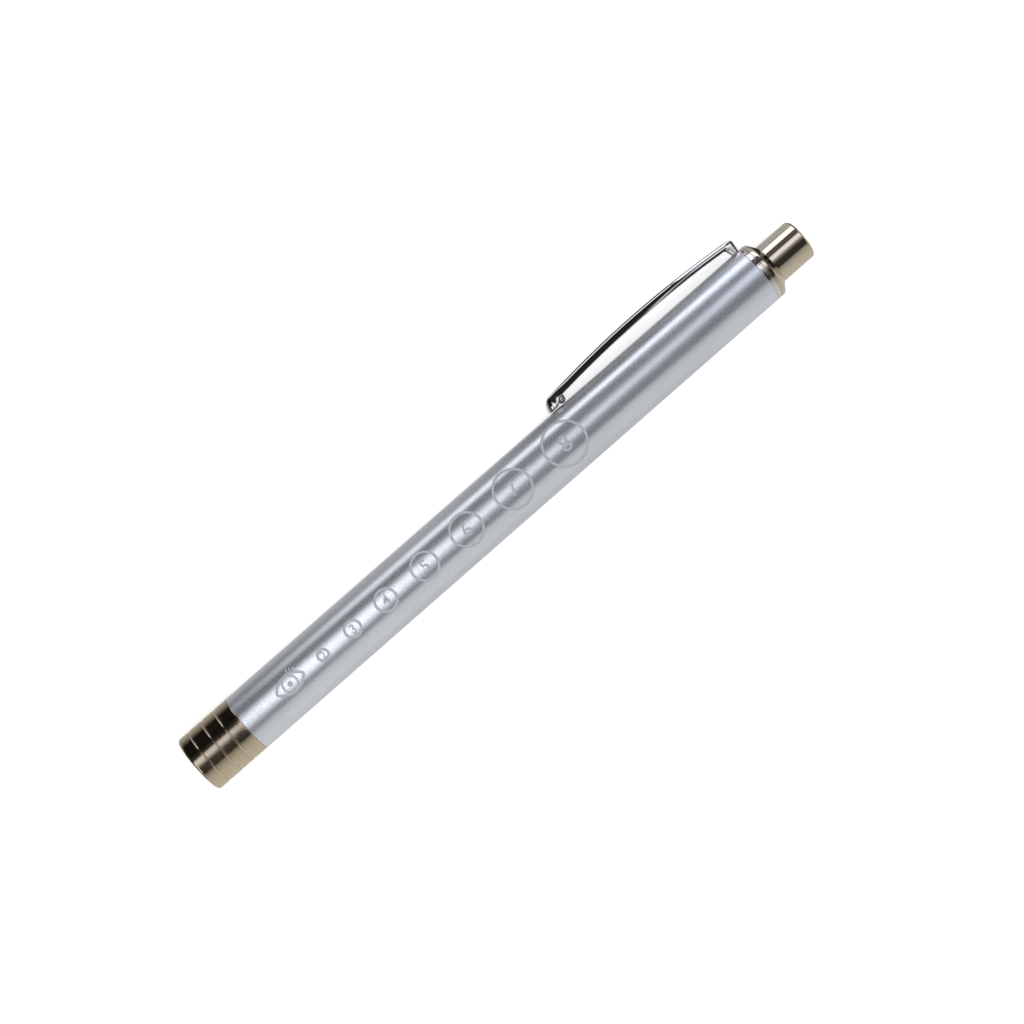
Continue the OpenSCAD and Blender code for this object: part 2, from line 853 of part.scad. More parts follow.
// Sprung arm: a folded channel with a deep round nose and a boss that meets the barrel
module clip_arm() {
    color("lightgray")
        laid()
            difference() {
                union() {
                    difference() {
                        intersection() {
                            side_plate(clip_width)
                                arm_outline(0);
                            arm_plan(clip_width, clip_tip_z);
                        }
                        intersection() {
                            side_plate(clip_width - 2 * clip_sheet)
                                arm_outline(clip_sheet);
                            arm_plan(clip_width - 2 * clip_sheet, clip_tip_z + clip_sheet);
                        }
                    }
                    translate([boss_x, 0, boss_z])
                        sphere(r = clip_boss_r);
                    translate([boss_x, 0, boss_z])
                        rotate([0, 90, 0])
                            cylinder(h = bow_x(boss_z) - clip_sheet / 2 - boss_x, r = clip_boss_r / 2);
                }
                side_plate(clip_width + 2 * overrun)
                    translate([hinge_x, hinge_z])
                        circle(r = clip_bend_r + clip_hinge_clearance);
            }
}

barrel();
head_shell();
head_seal_ring();
lens();
lens_gasket();
reflector();
led_body();
led_leads();
lamp_holder();
contact_sleeve();
contact_insulator();
centre_contact();
cell_can(front_cell_z);  // front_cell_can
cell_wrap(front_cell_z);  // front_cell_wrap
cell_seal(front_cell_z);  // front_cell_seal
cell_base(front_cell_z);  // front_cell_base
cell_can(rear_cell_z);  // rear_cell_can
cell_wrap(rear_cell_z);  // rear_cell_wrap
cell_seal(rear_cell_z);  // rear_cell_seal
cell_base(rear_cell_z);  // rear_cell_base
cell_spring();
contact_plate();
switch_body();
return_spring();
plunger();
button();
collar();
tail_seal_ring();
clip_ring();
clip_arm();
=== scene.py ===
# %% [markdown]
# # A penlight, dressed for a picture
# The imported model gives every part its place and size, in metres: the beam points along +X, the tail
# is towards -X, and the light lies on its barrel and its clip. This file adds what a picture needs:
# smooth turned shapes, fine marks, finishes, a table, a room to reflect and a camera.

# %% Load the frame
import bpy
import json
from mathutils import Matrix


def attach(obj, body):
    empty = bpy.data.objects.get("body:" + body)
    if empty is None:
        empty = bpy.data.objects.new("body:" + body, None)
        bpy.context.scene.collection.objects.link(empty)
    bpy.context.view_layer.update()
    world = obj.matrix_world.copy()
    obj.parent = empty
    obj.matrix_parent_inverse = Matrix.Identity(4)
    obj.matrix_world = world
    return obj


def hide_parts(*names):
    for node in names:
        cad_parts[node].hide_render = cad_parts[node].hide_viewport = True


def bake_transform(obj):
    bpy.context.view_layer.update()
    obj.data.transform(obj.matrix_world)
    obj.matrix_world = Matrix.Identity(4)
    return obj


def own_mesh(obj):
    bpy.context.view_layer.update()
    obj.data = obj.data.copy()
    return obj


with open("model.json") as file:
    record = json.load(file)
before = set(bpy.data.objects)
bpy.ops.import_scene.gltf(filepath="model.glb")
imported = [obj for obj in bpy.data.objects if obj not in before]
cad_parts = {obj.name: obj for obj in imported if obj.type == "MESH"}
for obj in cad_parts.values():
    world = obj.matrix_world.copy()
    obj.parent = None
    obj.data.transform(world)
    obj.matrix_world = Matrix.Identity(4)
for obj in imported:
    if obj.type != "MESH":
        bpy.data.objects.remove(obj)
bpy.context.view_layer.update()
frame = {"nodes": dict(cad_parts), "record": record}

# %% [markdown]
# ## A place to draw in
# Every part of the light is drawn in millimetres along one upright axis: Z runs from the front face
# to the tail, X points at the clip and Y at the pupil gauge. One matrix then lays the finished mesh
# down, so that each object stays at the origin, unturned, with its place in its mesh.

# %% Lay a mesh down
from math import acos, atan2, cos, degrees, pi, radians, sin, sqrt, tan
import bmesh
import bpy
from mathutils import Matrix, Vector

MM = 0.001
LIE = radians(25.476)  # how far the clip's plane is below level
LAID = Matrix((
    (0, 0, -MM, 0),
    (-cos(LIE) * MM, -sin(LIE) * MM, 0, 0),
    (-sin(LIE) * MM, cos(LIE) * MM, 0, 0),
    (0, 0, 0, 1),
))


def linked(name, data):
    """A new object of the scene, at the origin."""
    made = bpy.data.objects.new(name, data)
    bpy.context.collection.objects.link(made)
    return made


def finished_mesh(name, form, welded=0.0005):
    """Closes, lays down and shades a drawn form, and returns its object."""
    bmesh.ops.remove_doubles(form, verts=form.verts, dist=welded)
    bmesh.ops.recalc_face_normals(form, faces=form.faces)
    for face in form.faces:
        face.smooth = True
    mesh = bpy.data.meshes.new(name)
    form.to_mesh(mesh)
    form.free()
    mesh.transform(LAID)
    return linked(name, mesh)


# %% [markdown]
# ## Turning
# Barrel, head, collar and button are turned on a lathe, so one helper turns an outline round the axis.
# An outline is a list of corners: height, radius and the size of the edge break. A break is a small
# arc. A point just before and after it keeps the smooth shading of the long straight walls flat, where
# a modifier would need tuning for each part.

# %% Turn an outline
ROUND = 160
MOST_OF_SIDE = 0.46  # share of a straight side that one break may take


def broken_edges(corners, steps=4, hold=0.02):
    """The outline with an arc at each corner that names a break, as (height, radius) points."""
    points = []
    for i, corner in enumerate(corners):
        here = Vector(corner[:2])
        radius = corner[2] if len(corner) > 2 else 0
        before = Vector(corners[i - 1][:2]) - here
        after = Vector(corners[(i + 1) % len(corners)][:2]) - here
        angle = before.angle(after)
        if radius <= 0 or abs(angle - pi) < 0.02:
            points.append(tuple(here))
            continue
        to_last, to_next = before.normalized(), after.normalized()
        reach = min(radius / tan(angle / 2), MOST_OF_SIDE * before.length, MOST_OF_SIDE * after.length)
        radius = reach * tan(angle / 2)
        centre = here + (to_last + to_next).normalized() * radius / sin(angle / 2)
        start, end = here + to_last * reach, here + to_next * reach
        points.append(tuple(start + to_last * min(hold, 0.2 * before.length)))
        a, b = start - centre, end - centre
        turn = atan2(a.x * b.y - a.y * b.x, a.dot(b))
        for k in range(steps + 1):
            t = turn * k / steps
            p = Vector((a.x * cos(t) - a.y * sin(t), a.x * sin(t) + a.y * cos(t)))
            points.append(tuple(centre + p))
        points.append(tuple(end + to_next * min(hold, 0.2 * after.length)))
    return points


def turned(name, corners, steps=4, form=None, sweep=(0, 360), segments=ROUND):
    """A body turned from an outline of (height, radius, break) corners."""
    own = form is None
    form = form or bmesh.new()
    swept = sweep[1] - sweep[0]
    full = swept >= 360
    count = segments if full else round(segments * swept / 360)
    turns = [radians(sweep[0] + swept * k / count) for k in range(count if full else count + 1)]
    rings = []
    for z, r in broken_edges(corners, steps):
        if r < 1e-6:
            rings.append([form.verts.new((0, 0, z))] * len(turns))
        else:
            rings.append([form.verts.new((r * cos(a), r * sin(a), z)) for a in turns])
    for ring, after in zip(rings, rings[1:] + rings[:1]):
        for k in range(count):
            n = (k + 1) % len(ring)
            around = list(dict.fromkeys((ring[k], ring[n], after[n], after[k])))
            if len(around) > 2:
                form.faces.new(around)
    if not full:
        form.faces.new([ring[0] for ring in rings])
        form.faces.new([ring[-1] for ring in rings])
    return finished_mesh(name, form) if own else form


# %% [markdown]
# ## Shader groups
# Four effects come back in several finishes, so each is a node group with its own inputs. They put
# out masks and heights only. All read the Object coordinates, which don't slide when a part moves. A
# few helpers keep the wiring short: they fill an input by its name, from a node or with a plain value.

# %% Fill inputs and start a group
SOCKET_TYPES = {float: "NodeSocketFloat", int: "NodeSocketInt", type(None): "NodeSocketMaterial"}


def feed(socket, value):
    """Links an input to a socket or to a node's first output, or gives it a plain value."""
    value = value.outputs[0] if hasattr(value, "outputs") else value
    if hasattr(value, "links"):
        socket.id_data.links.new(value, socket)
    else:
        socket.default_value = value


def fill(node, **inputs):
    """Fills the named inputs of a node and returns the node."""
    for label, value in inputs.items():
        feed(node.inputs[label.replace("_", " ")], value)
    return node


def new_node(tree, kind, **inputs):
    """A new node of a tree, with its inputs filled."""
    return fill(tree.nodes.new(kind), **inputs)


def group(name, outputs, kind="Shader", **inputs):
    """A node group with named inputs: its tree, what it is asked and the node that it gives to."""
    tree = bpy.data.node_groups.new(name, kind + "NodeTree")
    first, last = ("Vector", "Float") if kind == "Shader" else ("Geometry", "Geometry")
    tree.interface.new_socket(first, in_out="INPUT", socket_type="NodeSocket" + first)
    for label, value in inputs.items():
        socket = tree.interface.new_socket(label.replace("_", " "), in_out="INPUT",
                                           socket_type=SOCKET_TYPES[type(value)])
        if value is not None:
            socket.default_value = value
    for label in outputs:
        tree.interface.new_socket(label, in_out="OUTPUT", socket_type="NodeSocket" + last)
    return tree, tree.nodes.new("NodeGroupInput").outputs, tree.nodes.new("NodeGroupOutput")


def maths(operation, *values, clamp=False):
    """A Math node whose inputs are sockets or plain numbers; returns its result."""
    tree = next(value for value in values if hasattr(value, "links")).id_data
    node = tree.nodes.new("ShaderNodeMath")
    node.operation = operation
    node.use_clamp = clamp
    for socket, value in zip(node.inputs, values):
        feed(socket, value)
    return node.outputs[0]


def spread(value, low, high, out_low=0.0, out_high=1.0):
    """A Map Range node from low..high to out_low..out_high; returns its result."""
    return new_node(value.id_data, "ShaderNodeMapRange", Value=value, From_Min=low, From_Max=high,
                    To_Min=out_low, To_Max=out_high).outputs["Result"]


def noise_at(where, size, share=1.0, **settings):
    """Noise read at a vector; its scale is the share over the size. Returns its value."""
    return new_node(where.id_data, "ShaderNodeTexNoise", Vector=where,
                    Scale=maths("DIVIDE", share, size), **settings).outputs["Fac"]


# %% [markdown]
# ### Fine grain
# Blasted and anodised metal, moulded plastic and rubber all have a fine grain. Two sizes of noise make
# it: the grain itself, and slow clouds that vary it, so that no two places are the same.

# %% Fine grain
grain, asked, given = group("fine grain", ["Height", "Clouds"], Grain_size=0.00012, Cloud_size=0.006)
fill(given, Height=noise_at(asked["Vector"], asked["Grain size"], Detail=2.0),
     Clouds=noise_at(asked["Vector"], asked["Cloud size"], Detail=2.0))

# %% [markdown]
# ### Turning marks
# A lathe tool leaves fine rings round a turned part. They are noise along the axis alone, at two
# pitches, with a slight drift round the part so that a ring fades in and out.

# %% Turning marks
turning, asked, given = group("turning marks", ["Height", "Streaks"], Pitch=0.00012)
along = turning.nodes.new("ShaderNodeVectorMath")
along.operation = "MULTIPLY"
feed(along.inputs[0], asked["Vector"])
feed(along.inputs[1], (1.0, 0.012, 0.012))
fill(given, Height=noise_at(along.outputs[0], asked["Pitch"], Detail=3.0),
     Streaks=noise_at(along.outputs[0], asked["Pitch"], 0.22, Detail=3.0))

# %% [markdown]
# ### Edge wear
# Plating and anodising rub thin on edges. Pointiness is high on a convex edge, and noise breaks the
# worn line up so that it isn't drawn with a ruler.

# %% Edge wear
wear, asked, given = group("edge wear", ["Mask"], Start=0.53, Patch_size=0.0015)
edge = new_node(wear, "ShaderNodeNewGeometry").outputs["Pointiness"]
raised = maths("MULTIPLY", maths("SUBTRACT", edge, asked["Start"]), 14.0, clamp=True)
rubbed = maths("MULTIPLY", raised, noise_at(asked["Vector"], asked["Patch size"]))
fill(given, Mask=maths("MULTIPLY", rubbed, 1.4, clamp=True))

# %% [markdown]
# ### Handling
# A light that is carried has a faint film of fingers on it: soft blots that dull the gloss a little.

# %% Handling
handling, asked, given = group("handling", ["Mask"], Blot_size=0.007, Amount=0.5)
film = noise_at(asked["Vector"], asked["Blot size"], Detail=5.0, Distortion=0.6)
fill(given, Mask=maths("MULTIPLY", spread(film, 0.48, 0.72), asked["Amount"]))
print("groups:", [g.name for g in bpy.data.node_groups])

# %% [markdown]
# ## Finishes
# One helper starts each material, one mixes two colours by a mask and one adds a bump. The finishes
# stay plain to read: what the metal is, how rough it is, and which groups vary it.

# %% Material helpers
FINISHES = {}
MICRON = 0.000001


def finish_start(name, colour, metallic, roughness, **plain):
    """A new material: its Principled BSDF and its Object coordinates."""
    material = bpy.data.materials.new(name)
    material.use_nodes = True
    FINISHES[name] = material
    tree = material.node_tree
    shader = fill(tree.nodes["Principled BSDF"], Base_Color=(*colour, 1), Metallic=metallic,
                  Roughness=roughness, **plain)
    return shader, new_node(tree, "ShaderNodeTexCoord").outputs["Object"]


def effect(made, where, **values):
    """What a group gives when it is read at the Object coordinates, with a material's own values."""
    node = where.id_data.nodes.new("ShaderNodeGroup")
    node.node_tree = made
    return fill(node, Vector=where, **values).outputs


def mixed(mask, first, second):
    """A colour that goes from first to second with the mask."""
    node = mask.id_data.nodes.new("ShaderNodeMix")
    node.data_type = "RGBA"
    fill(node, Factor=mask)
    for socket, value in ((node.inputs[6], first), (node.inputs[7], second)):
        feed(socket, value if hasattr(value, "links") else (*value, 1))
    return node.outputs[2]


def bumped(shader, height, depth, strength=1.0):
    """The height as a bump on the shader's normal; depth is in microns."""
    fill(shader, Normal=new_node(shader.id_data, "ShaderNodeBump", Height=height,
                                 Distance=depth * MICRON, Strength=strength))


# %% [markdown]
# ### Anodised aluminium
# The barrel is bead-blasted and clear anodised: a satin grey with soft, wide reflections and a very
# fine grain. Part of its light comes back from inside the oxide layer, so it isn't fully metallic.

# %% Anodised barrel
shader, where = finish_start("anodised_barrel", (0.715, 0.74, 0.79), 0.8, 0.27)
g = effect(grain, where, Grain_size=0.00016, Cloud_size=0.011)
h = effect(handling, where, Blot_size=0.012, Amount=0.5)
w = effect(wear, where, Start=0.54)
cloudy = mixed(spread(g["Clouds"], 0.3, 0.7), (0.70, 0.725, 0.775), (0.73, 0.755, 0.805))
rough = spread(g["Height"], 0.3, 0.7, 0.24, 0.31)
fill(shader, Base_Color=mixed(w["Mask"], cloudy, (0.86, 0.87, 0.88)),
     Roughness=maths("ADD", rough, maths("MULTIPLY", h["Mask"], 0.05)))
bumped(shader, g["Height"], 2.5, 0.5)

# %% [markdown]
# ### Lasered marks
# A laser roughens the anodised layer, so the marks are the same metal gone matt. They keep one grey in
# light and in dark reflections, which makes them readable.

# %% Lasered marks
shader, where = finish_start("lasered_marks", (0.53, 0.54, 0.59), 0.1, 0.65)
g = effect(grain, where, Grain_size=0.00009, Cloud_size=0.0009)
fill(shader, Base_Color=mixed(g["Clouds"], (0.50, 0.51, 0.56), (0.56, 0.57, 0.62)),
     Roughness=spread(g["Height"], 0.3, 0.7, 0.5, 0.7))
bumped(shader, g["Height"], 10, 0.5)

# %% [markdown]
# ### Bright nickel
# Head, collar and button are turned brass with bright nickel plate, a warm grey metal with fine
# rings from the lathe under the plate. The head is a little warmer and duller than the tail.

# %% Nickel plate
for name, cool, warm, smooth, dull in (
    ("nickel_head", (0.57, 0.475, 0.335), (0.63, 0.525, 0.37), 0.05, 0.09),
    ("nickel_tail", (0.58, 0.50, 0.385), (0.63, 0.54, 0.415), 0.035, 0.07),
):
    shader, where = finish_start(name, warm, 1.0, smooth)
    t = effect(turning, where, Pitch=0.00014)
    h = effect(handling, where, Blot_size=0.005, Amount=0.6)
    w = effect(wear, where, Start=0.55, Patch_size=0.0011)
    streaked = mixed(spread(t["Streaks"], 0.3, 0.7), cool, warm)
    rough = spread(t["Streaks"], 0.25, 0.75, smooth, dull)
    fill(shader, Base_Color=mixed(w["Mask"], streaked, (0.86, 0.80, 0.68)),
         Roughness=maths("ADD", rough, maths("MULTIPLY", h["Mask"], 0.04)))
    bumped(shader, t["Height"], 0.7)

# %% [markdown]
# ### Chrome
# The clip is spring steel with polished chrome: nearly a mirror, with hairline scratches and blots
# that only show where a reflection ends.

# %% Chrome clip
shader, where = finish_start("chrome_clip", (0.72, 0.665, 0.62), 1.0, 0.05)
g = effect(grain, where, Grain_size=0.0006, Cloud_size=0.004)
h = effect(handling, where, Blot_size=0.004, Amount=0.7)
fill(shader, Base_Color=mixed(g["Clouds"], (0.69, 0.635, 0.59), (0.75, 0.695, 0.65)),
     Roughness=spread(h["Mask"], 0.0, 0.7, 0.04, 0.10))
bumped(shader, g["Height"], 3, 0.3)

# %% [markdown]
# ### Other metals
# Brass contacts, the steel of the cells, springs and leads: each its own colour, with turning rings or
# drawing lines and a slight tarnish in blots.

# %% Brass, cell steel, spring wire, tinned wire
for name, bright, tarnished, smooth, dull in (
    ("brass", (0.78, 0.60, 0.27), (0.55, 0.38, 0.15), 0.18, 0.34),
    ("cell_can", (0.70, 0.70, 0.69), (0.56, 0.56, 0.55), 0.22, 0.36),
    ("cell_plate", (0.74, 0.74, 0.73), (0.60, 0.60, 0.58), 0.20, 0.38),
    ("spring_steel", (0.66, 0.66, 0.66), (0.46, 0.45, 0.43), 0.20, 0.35),
    ("tinned_wire", (0.74, 0.74, 0.72), (0.58, 0.58, 0.55), 0.28, 0.45),
):
    shader, where = finish_start(name, bright, 1.0, smooth)
    t = effect(turning, where, Pitch=0.0002)
    h = effect(handling, where, Blot_size=0.0022, Amount=0.9)
    fill(shader, Base_Color=mixed(h["Mask"], bright, tarnished),
         Roughness=spread(h["Mask"], 0.0, 0.9, smooth, dull))
    bumped(shader, t["Height"], 3, 0.7)

# %% [markdown]
# ### Plastic, fibre, rubber and wrap
# Moulded and pressed parts differ in colour, gloss and how coarse and deep their grain is.

# %% Plastic, fibre, rubber and wrap
for name, colour, other, smooth, dull, size, depth in (
    ("rubber", (0.022, 0.022, 0.024), (0.05, 0.048, 0.046), 0.45, 0.65, 0.00010, 8),
    ("white_plastic", (0.86, 0.85, 0.81), (0.80, 0.79, 0.74), 0.32, 0.45, 0.00018, 4),
    ("black_plastic", (0.035, 0.035, 0.04), (0.06, 0.06, 0.065), 0.30, 0.48, 0.00018, 5),
    ("fibre", (0.30, 0.15, 0.075), (0.20, 0.09, 0.04), 0.55, 0.75, 0.00035, 10),
    ("cell_wrap", (0.07, 0.20, 0.42), (0.10, 0.26, 0.50), 0.20, 0.30, 0.0005, 4),
):
    shader, where = finish_start(name, colour, 0.0, smooth)
    g = effect(grain, where, Grain_size=size, Cloud_size=size * 8)
    fill(shader, Base_Color=mixed(spread(g["Clouds"], 0.35, 0.65), colour, other),
         Roughness=spread(g["Height"], 0.3, 0.7, smooth, dull))
    bumped(shader, g["Height"], depth)

# %% [markdown]
# ### Lens, reflector and lamp
# The lens is clear, with a little dust. The reflector is plated plastic, bright with a faint orange
# peel. The lamp's resin is clear, so that its cup and die show inside.

# %% Lens, reflector and lamp
shader, where = finish_start("lens", (0.97, 0.985, 0.99), 0.0, 0.02, Transmission_Weight=1.0, IOR=1.49)
g = effect(grain, where, Grain_size=0.00035, Cloud_size=0.003)
fill(shader, Roughness=spread(g["Height"], 0.66, 0.74, 0.015, 0.14))
bumped(shader, g["Clouds"], 4, 0.3)

shader, where = finish_start("reflector", (0.90, 0.90, 0.90), 1.0, 0.08)
g = effect(grain, where, Grain_size=0.0005, Cloud_size=0.002)
fill(shader, Base_Color=mixed(g["Clouds"], (0.86, 0.86, 0.86), (0.93, 0.93, 0.92)),
     Roughness=spread(g["Clouds"], 0.3, 0.7, 0.05, 0.12))
bumped(shader, g["Height"], 6, 0.6)

shader, where = finish_start("lamp_resin", (0.97, 0.97, 0.95), 0.0, 0.03, Transmission_Weight=1.0, IOR=1.5)
g = effect(grain, where, Grain_size=0.0004, Cloud_size=0.0015)
fill(shader, Roughness=spread(g["Clouds"], 0.3, 0.7, 0.02, 0.07))
bumped(shader, g["Height"], 3, 0.4)

shader, where = finish_start("lamp_phosphor", (0.88, 0.70, 0.10), 0.0, 0.5)
g = effect(grain, where, Grain_size=0.00008, Cloud_size=0.0004)
fill(shader, Base_Color=mixed(g["Clouds"], (0.90, 0.74, 0.12), (0.80, 0.58, 0.06)))
bumped(shader, g["Height"], 10)
print("finishes:", len(FINISHES))

# %% [markdown]
# Nodes of the frame whose plain shape is right keep it: the cells, contacts and plastic cups inside
# the light. They only need their finish, which goes into each node's own material slots.

# %% Finishes on the nodes that stay
slot_of = {part["node"]: part["material_slot"] for part in frame["record"]["subparts"]}
for node_name, node in frame["nodes"].items():
    node.data.materials.clear()
    node.data.materials.append(FINISHES[slot_of[node_name]])


def dressed(piece, body, slot, *nodes, finish=None):
    """Gives a finished piece its finish, its body and the nodes that it stands for."""
    piece.data.materials.clear()
    piece.data.materials.append(FINISHES[finish or slot])
    if body:
        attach(piece, body)
    if nodes:
        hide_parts(*nodes)
    size = [round(v * 1000, 2) for v in piece.dimensions]
    print(f"{piece.name}: {len(piece.data.polygons)} faces, {size} mm")
    return piece


# %% [markdown]
# ## The barrel
# A drawn tube, 11.5 mm across, with a small break at each end and a slightly wider thread recess in
# front. It carries the pupil gauge, so its wall is kept round and smooth.

# %% The barrel
BARREL_R = 5.75
barrel_tube = turned("barrel_tube", [
    (11.45, 5.5, 0.04), (11.45, BARREL_R, 0.11), (133.85, BARREL_R, 0.11), (133.85, 5.35, 0.04),
    (16.65, 5.35, 0.03), (16.5, 5.5, 0.03),
])
dressed(barrel_tube, "barrel", "anodised_barrel", "barrel")

# %% [markdown]
# ## The head
# A turned cap with a well-rounded front edge and three grip grooves. Its shank screws into the barrel
# and carries a rubber ring, so it also has to look right when the head is unscrewed.

# %% The head
groove_floor = BARREL_R - 0.13
head_outline = [(0, 3.8, 0.06), (0, BARREL_R, 0.65)]
for middle in (2.7, 5.63, 8.56):
    head_outline += [
        (middle - 0.2, BARREL_R, 0.04), (middle - 0.04, groove_floor, 0.04),
        (middle + 0.04, groove_floor, 0.04), (middle + 0.2, BARREL_R, 0.04),
    ]
head_outline += [
    (11.45, BARREL_R, 0.11), (11.45, 5.45, 0.03), (12.03, 5.45, 0.04), (12.03, 4.935, 0.04),
    (12.57, 4.935, 0.04), (12.57, 5.45, 0.04), (12.85, 5.45, 0.05), (12.95, 5.13, 0.05),
    (15.95, 5.13, 0.12), (15.95, 4.5, 0.05), (0.9, 4.5, 0.03), (0.9, 3.8, 0.06),
]
head_cap = turned("head_cap", head_outline, steps=5)
dressed(head_cap, "head", "nickel_head", "head_shell")

# %% [markdown]
# ## Wound shapes
# The thread on the shank and both springs are the same idea: a section carried along a helix. One
# Geometry Nodes tree winds them all. Its inputs are the turns, the radius at each end, the length, the
# size of the section and its number of sides: four make a thread ridge, twelve a round wire. The
# section shrinks at both ends, as a thread runs out and a spring's wire is ground.

# %% The end of a tree, and the winding tree
def made_real(given, geometry, material):
    """Ends a geometry tree: instances become real mesh, and the mesh gets its material."""
    tree = given.id_data
    real = new_node(tree, "GeometryNodeRealizeInstances", Geometry=geometry)
    painted = new_node(tree, "GeometryNodeSetMaterial", Geometry=real, Material=material)
    fill(given, Geometry=painted)


winding, asked, given = group(
    "winding", ["Geometry"], "Geometry", Turns=4.0, Front_radius=5.0, Back_radius=5.0,
    Length=3.0, Section_radius=0.3, Sides=10, Run_out=0.03, Material=None,
)
helix = new_node(winding, "GeometryNodeCurveSpiral", Resolution=64, Rotations=asked["Turns"],
                 Start_Radius=asked["Front radius"], End_Radius=asked["Back radius"], Height=asked["Length"])
wire = new_node(winding, "GeometryNodeCurvePrimitiveCircle", Resolution=asked["Sides"],
                Radius=asked["Section radius"])
place = new_node(winding, "GeometryNodeSplineParameter").outputs["Factor"]
shrink = maths("DIVIDE", maths("PINGPONG", place, 0.5), asked["Run out"], clamp=True)
sized = new_node(winding, "GeometryNodeSetCurveRadius", Curve=helix,
                 Radius=maths("MAXIMUM", shrink, 0.3))
swept = new_node(winding, "GeometryNodeCurveToMesh", Curve=sized, Profile_Curve=wire, Fill_Caps=True,
                 Scale=new_node(winding, "GeometryNodeInputRadius"))
made_real(given, swept, asked["Material"])


# %% Run a tree
def mesh_of(piece):
    """The mesh that a piece comes to with its modifiers, or a text with its letters."""
    view = bpy.context.evaluated_depsgraph_get()
    return bpy.data.meshes.new_from_object(piece.evaluated_get(view), depsgraph=view)


def baked(piece):
    """The piece with its modifiers applied and removed."""
    mesh = mesh_of(piece)
    piece.modifiers.clear()
    piece.data = mesh
    return piece


def from_tree(name, tree, finish, drawn=None, start_z=0.0, welded=0.00001, **values):
    """Runs a Geometry Nodes tree in the upright drawing and returns its plain mesh, laid down."""
    holder = linked(name + "_holder", drawn or bpy.data.meshes.new(name + "_holder"))
    modifier = holder.modifiers.new("made by rule", "NODES")
    modifier.node_group = tree
    values["Material"] = FINISHES[finish]
    for item in tree.interface.items_tree:
        label = item.name.replace(" ", "_")
        if item.in_out == "INPUT" and label in values:
            modifier[item.identifier] = values[label]
    form = bmesh.new()
    form.from_mesh(baked(holder).data)
    bpy.data.objects.remove(holder)
    bmesh.ops.translate(form, verts=form.verts, vec=(0, 0, start_z))
    return finished_mesh(name, form, welded)


# %% [markdown]
# ### Thread, cell spring and return spring
# The thread is a ridge of four sides, half sunk in the shank, with the pitch of 0.75 mm that the
# head's screw joint has. On the real light the return spring shortens as the button is pressed.

# %% Thread and springs
head_thread = from_tree("head_thread", winding, "nickel_head", start_z=13.15, Turns=3.4, Front_radius=5.1,
                        Back_radius=5.1, Length=2.55, Section_radius=0.34, Sides=4, Run_out=0.05)
dressed(head_thread, "head", "nickel_head")
coil = from_tree("cell_coil", winding, "spring_steel", start_z=106.2, Turns=6.0, Front_radius=2.5,
                 Back_radius=3.75, Length=9.8, Section_radius=0.29, Sides=12, Run_out=0.01)
dressed(coil, "barrel", "spring_steel", "cell_spring")
coil = from_tree("button_coil", winding, "spring_steel", start_z=121.55, Turns=7.0, Front_radius=2.59,
                 Back_radius=2.59, Length=10.2, Section_radius=0.22, Sides=12, Run_out=0.01)
dressed(coil, "barrel", "spring_steel", "return_spring")
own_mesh(coil)

# %% [markdown]
# ## Collar and button
# The collar clamps the clip's ring and guides the button. Its short straight band ends in a round
# shoulder that falls to a thin lip. The button is a plain polished cup with a broken edge.

# %% Collar and button
collar_nut = turned("collar_nut", [
    (130.0, 4.08, 0.05), (130.0, 4.7, 0.03), (126.0, 4.7, 0.03), (126.0, 5.3, 0.1),
    (131.59, 5.3, 0.03), (131.59, 4.605, 0.03), (132.31, 4.605, 0.03), (132.31, 5.3, 0.03),
    (134.75, 5.3, 0.02), (134.75, BARREL_R, 0.1), (135.6, BARREL_R, 0.8), (136.8, 4.2, 0.08),
    (136.85, 4.08, 0.02),
], steps=8)
dressed(collar_nut, "barrel", "nickel_tail", "collar")
push_button = turned("push_button", [
    (129.0, 3.33, 0.05), (129.0, 4.6, 0.1), (130.0, 4.6, 0.1), (130.0, 4.03, 0.03),
    (143.93, 4.03, 0.12), (144.3, 3.66, 0.14), (144.3, 0), (143.3, 0), (143.3, 3.33, 0.1),
], steps=5)
dressed(push_button, "button", "nickel_tail", "button")

# %% [markdown]
# ## Seals
# Rubber rings are turned from a round outline. They only show when the head comes off.

# %% Seals
def seal(name, middle, radius, wire_r):
    """A rubber ring of round section."""
    turns = [2 * pi * k / 14 for k in range(14)]
    return turned(name, [(middle + wire_r * cos(a), radius + wire_r * sin(a)) for a in turns])


dressed(seal("head_o_ring", 12.3, 5.2, 0.27), "head", "rubber", "head_seal_ring")
dressed(seal("tail_o_ring", 131.95, 4.965, 0.36), "barrel", "rubber", "tail_seal_ring")

# %% [markdown]
# ## The lamp
# Behind the lens sits a plated dish round a domed lamp. The dish is a parabola, so that the light
# leaves it as a beam. The lamp's clear body shows a small cup with its yellow die, on two posts.

# %% Lens, gasket, dish and lamp
lens_disc = turned("lens_disc", [(1.3, 0), (1.3, 4.45, 0.08), (2.3, 4.45, 0.08), (2.3, 0)])
dressed(lens_disc, "head", "lens", "lens")
gasket = turned("lens_gasket_ring", [(0.9, 3.8, 0.08), (0.9, 4.45, 0.08), (1.3, 4.45, 0.08),
                                     (1.3, 3.8, 0.08)])
dressed(gasket, "head", "rubber", "lens_gasket")

dish = []
for k in range(25):
    share = k / 24
    dish.append((8.7 - 6.4 * share, sqrt(2.55 ** 2 + (4.1 ** 2 - 2.55 ** 2) * share)))
reflector_dish = turned("reflector_dish", dish + [(2.3, 4.45, 0.05), (8.7, 4.45, 0.05)])
dressed(reflector_dish, "head", "reflector", "reflector")

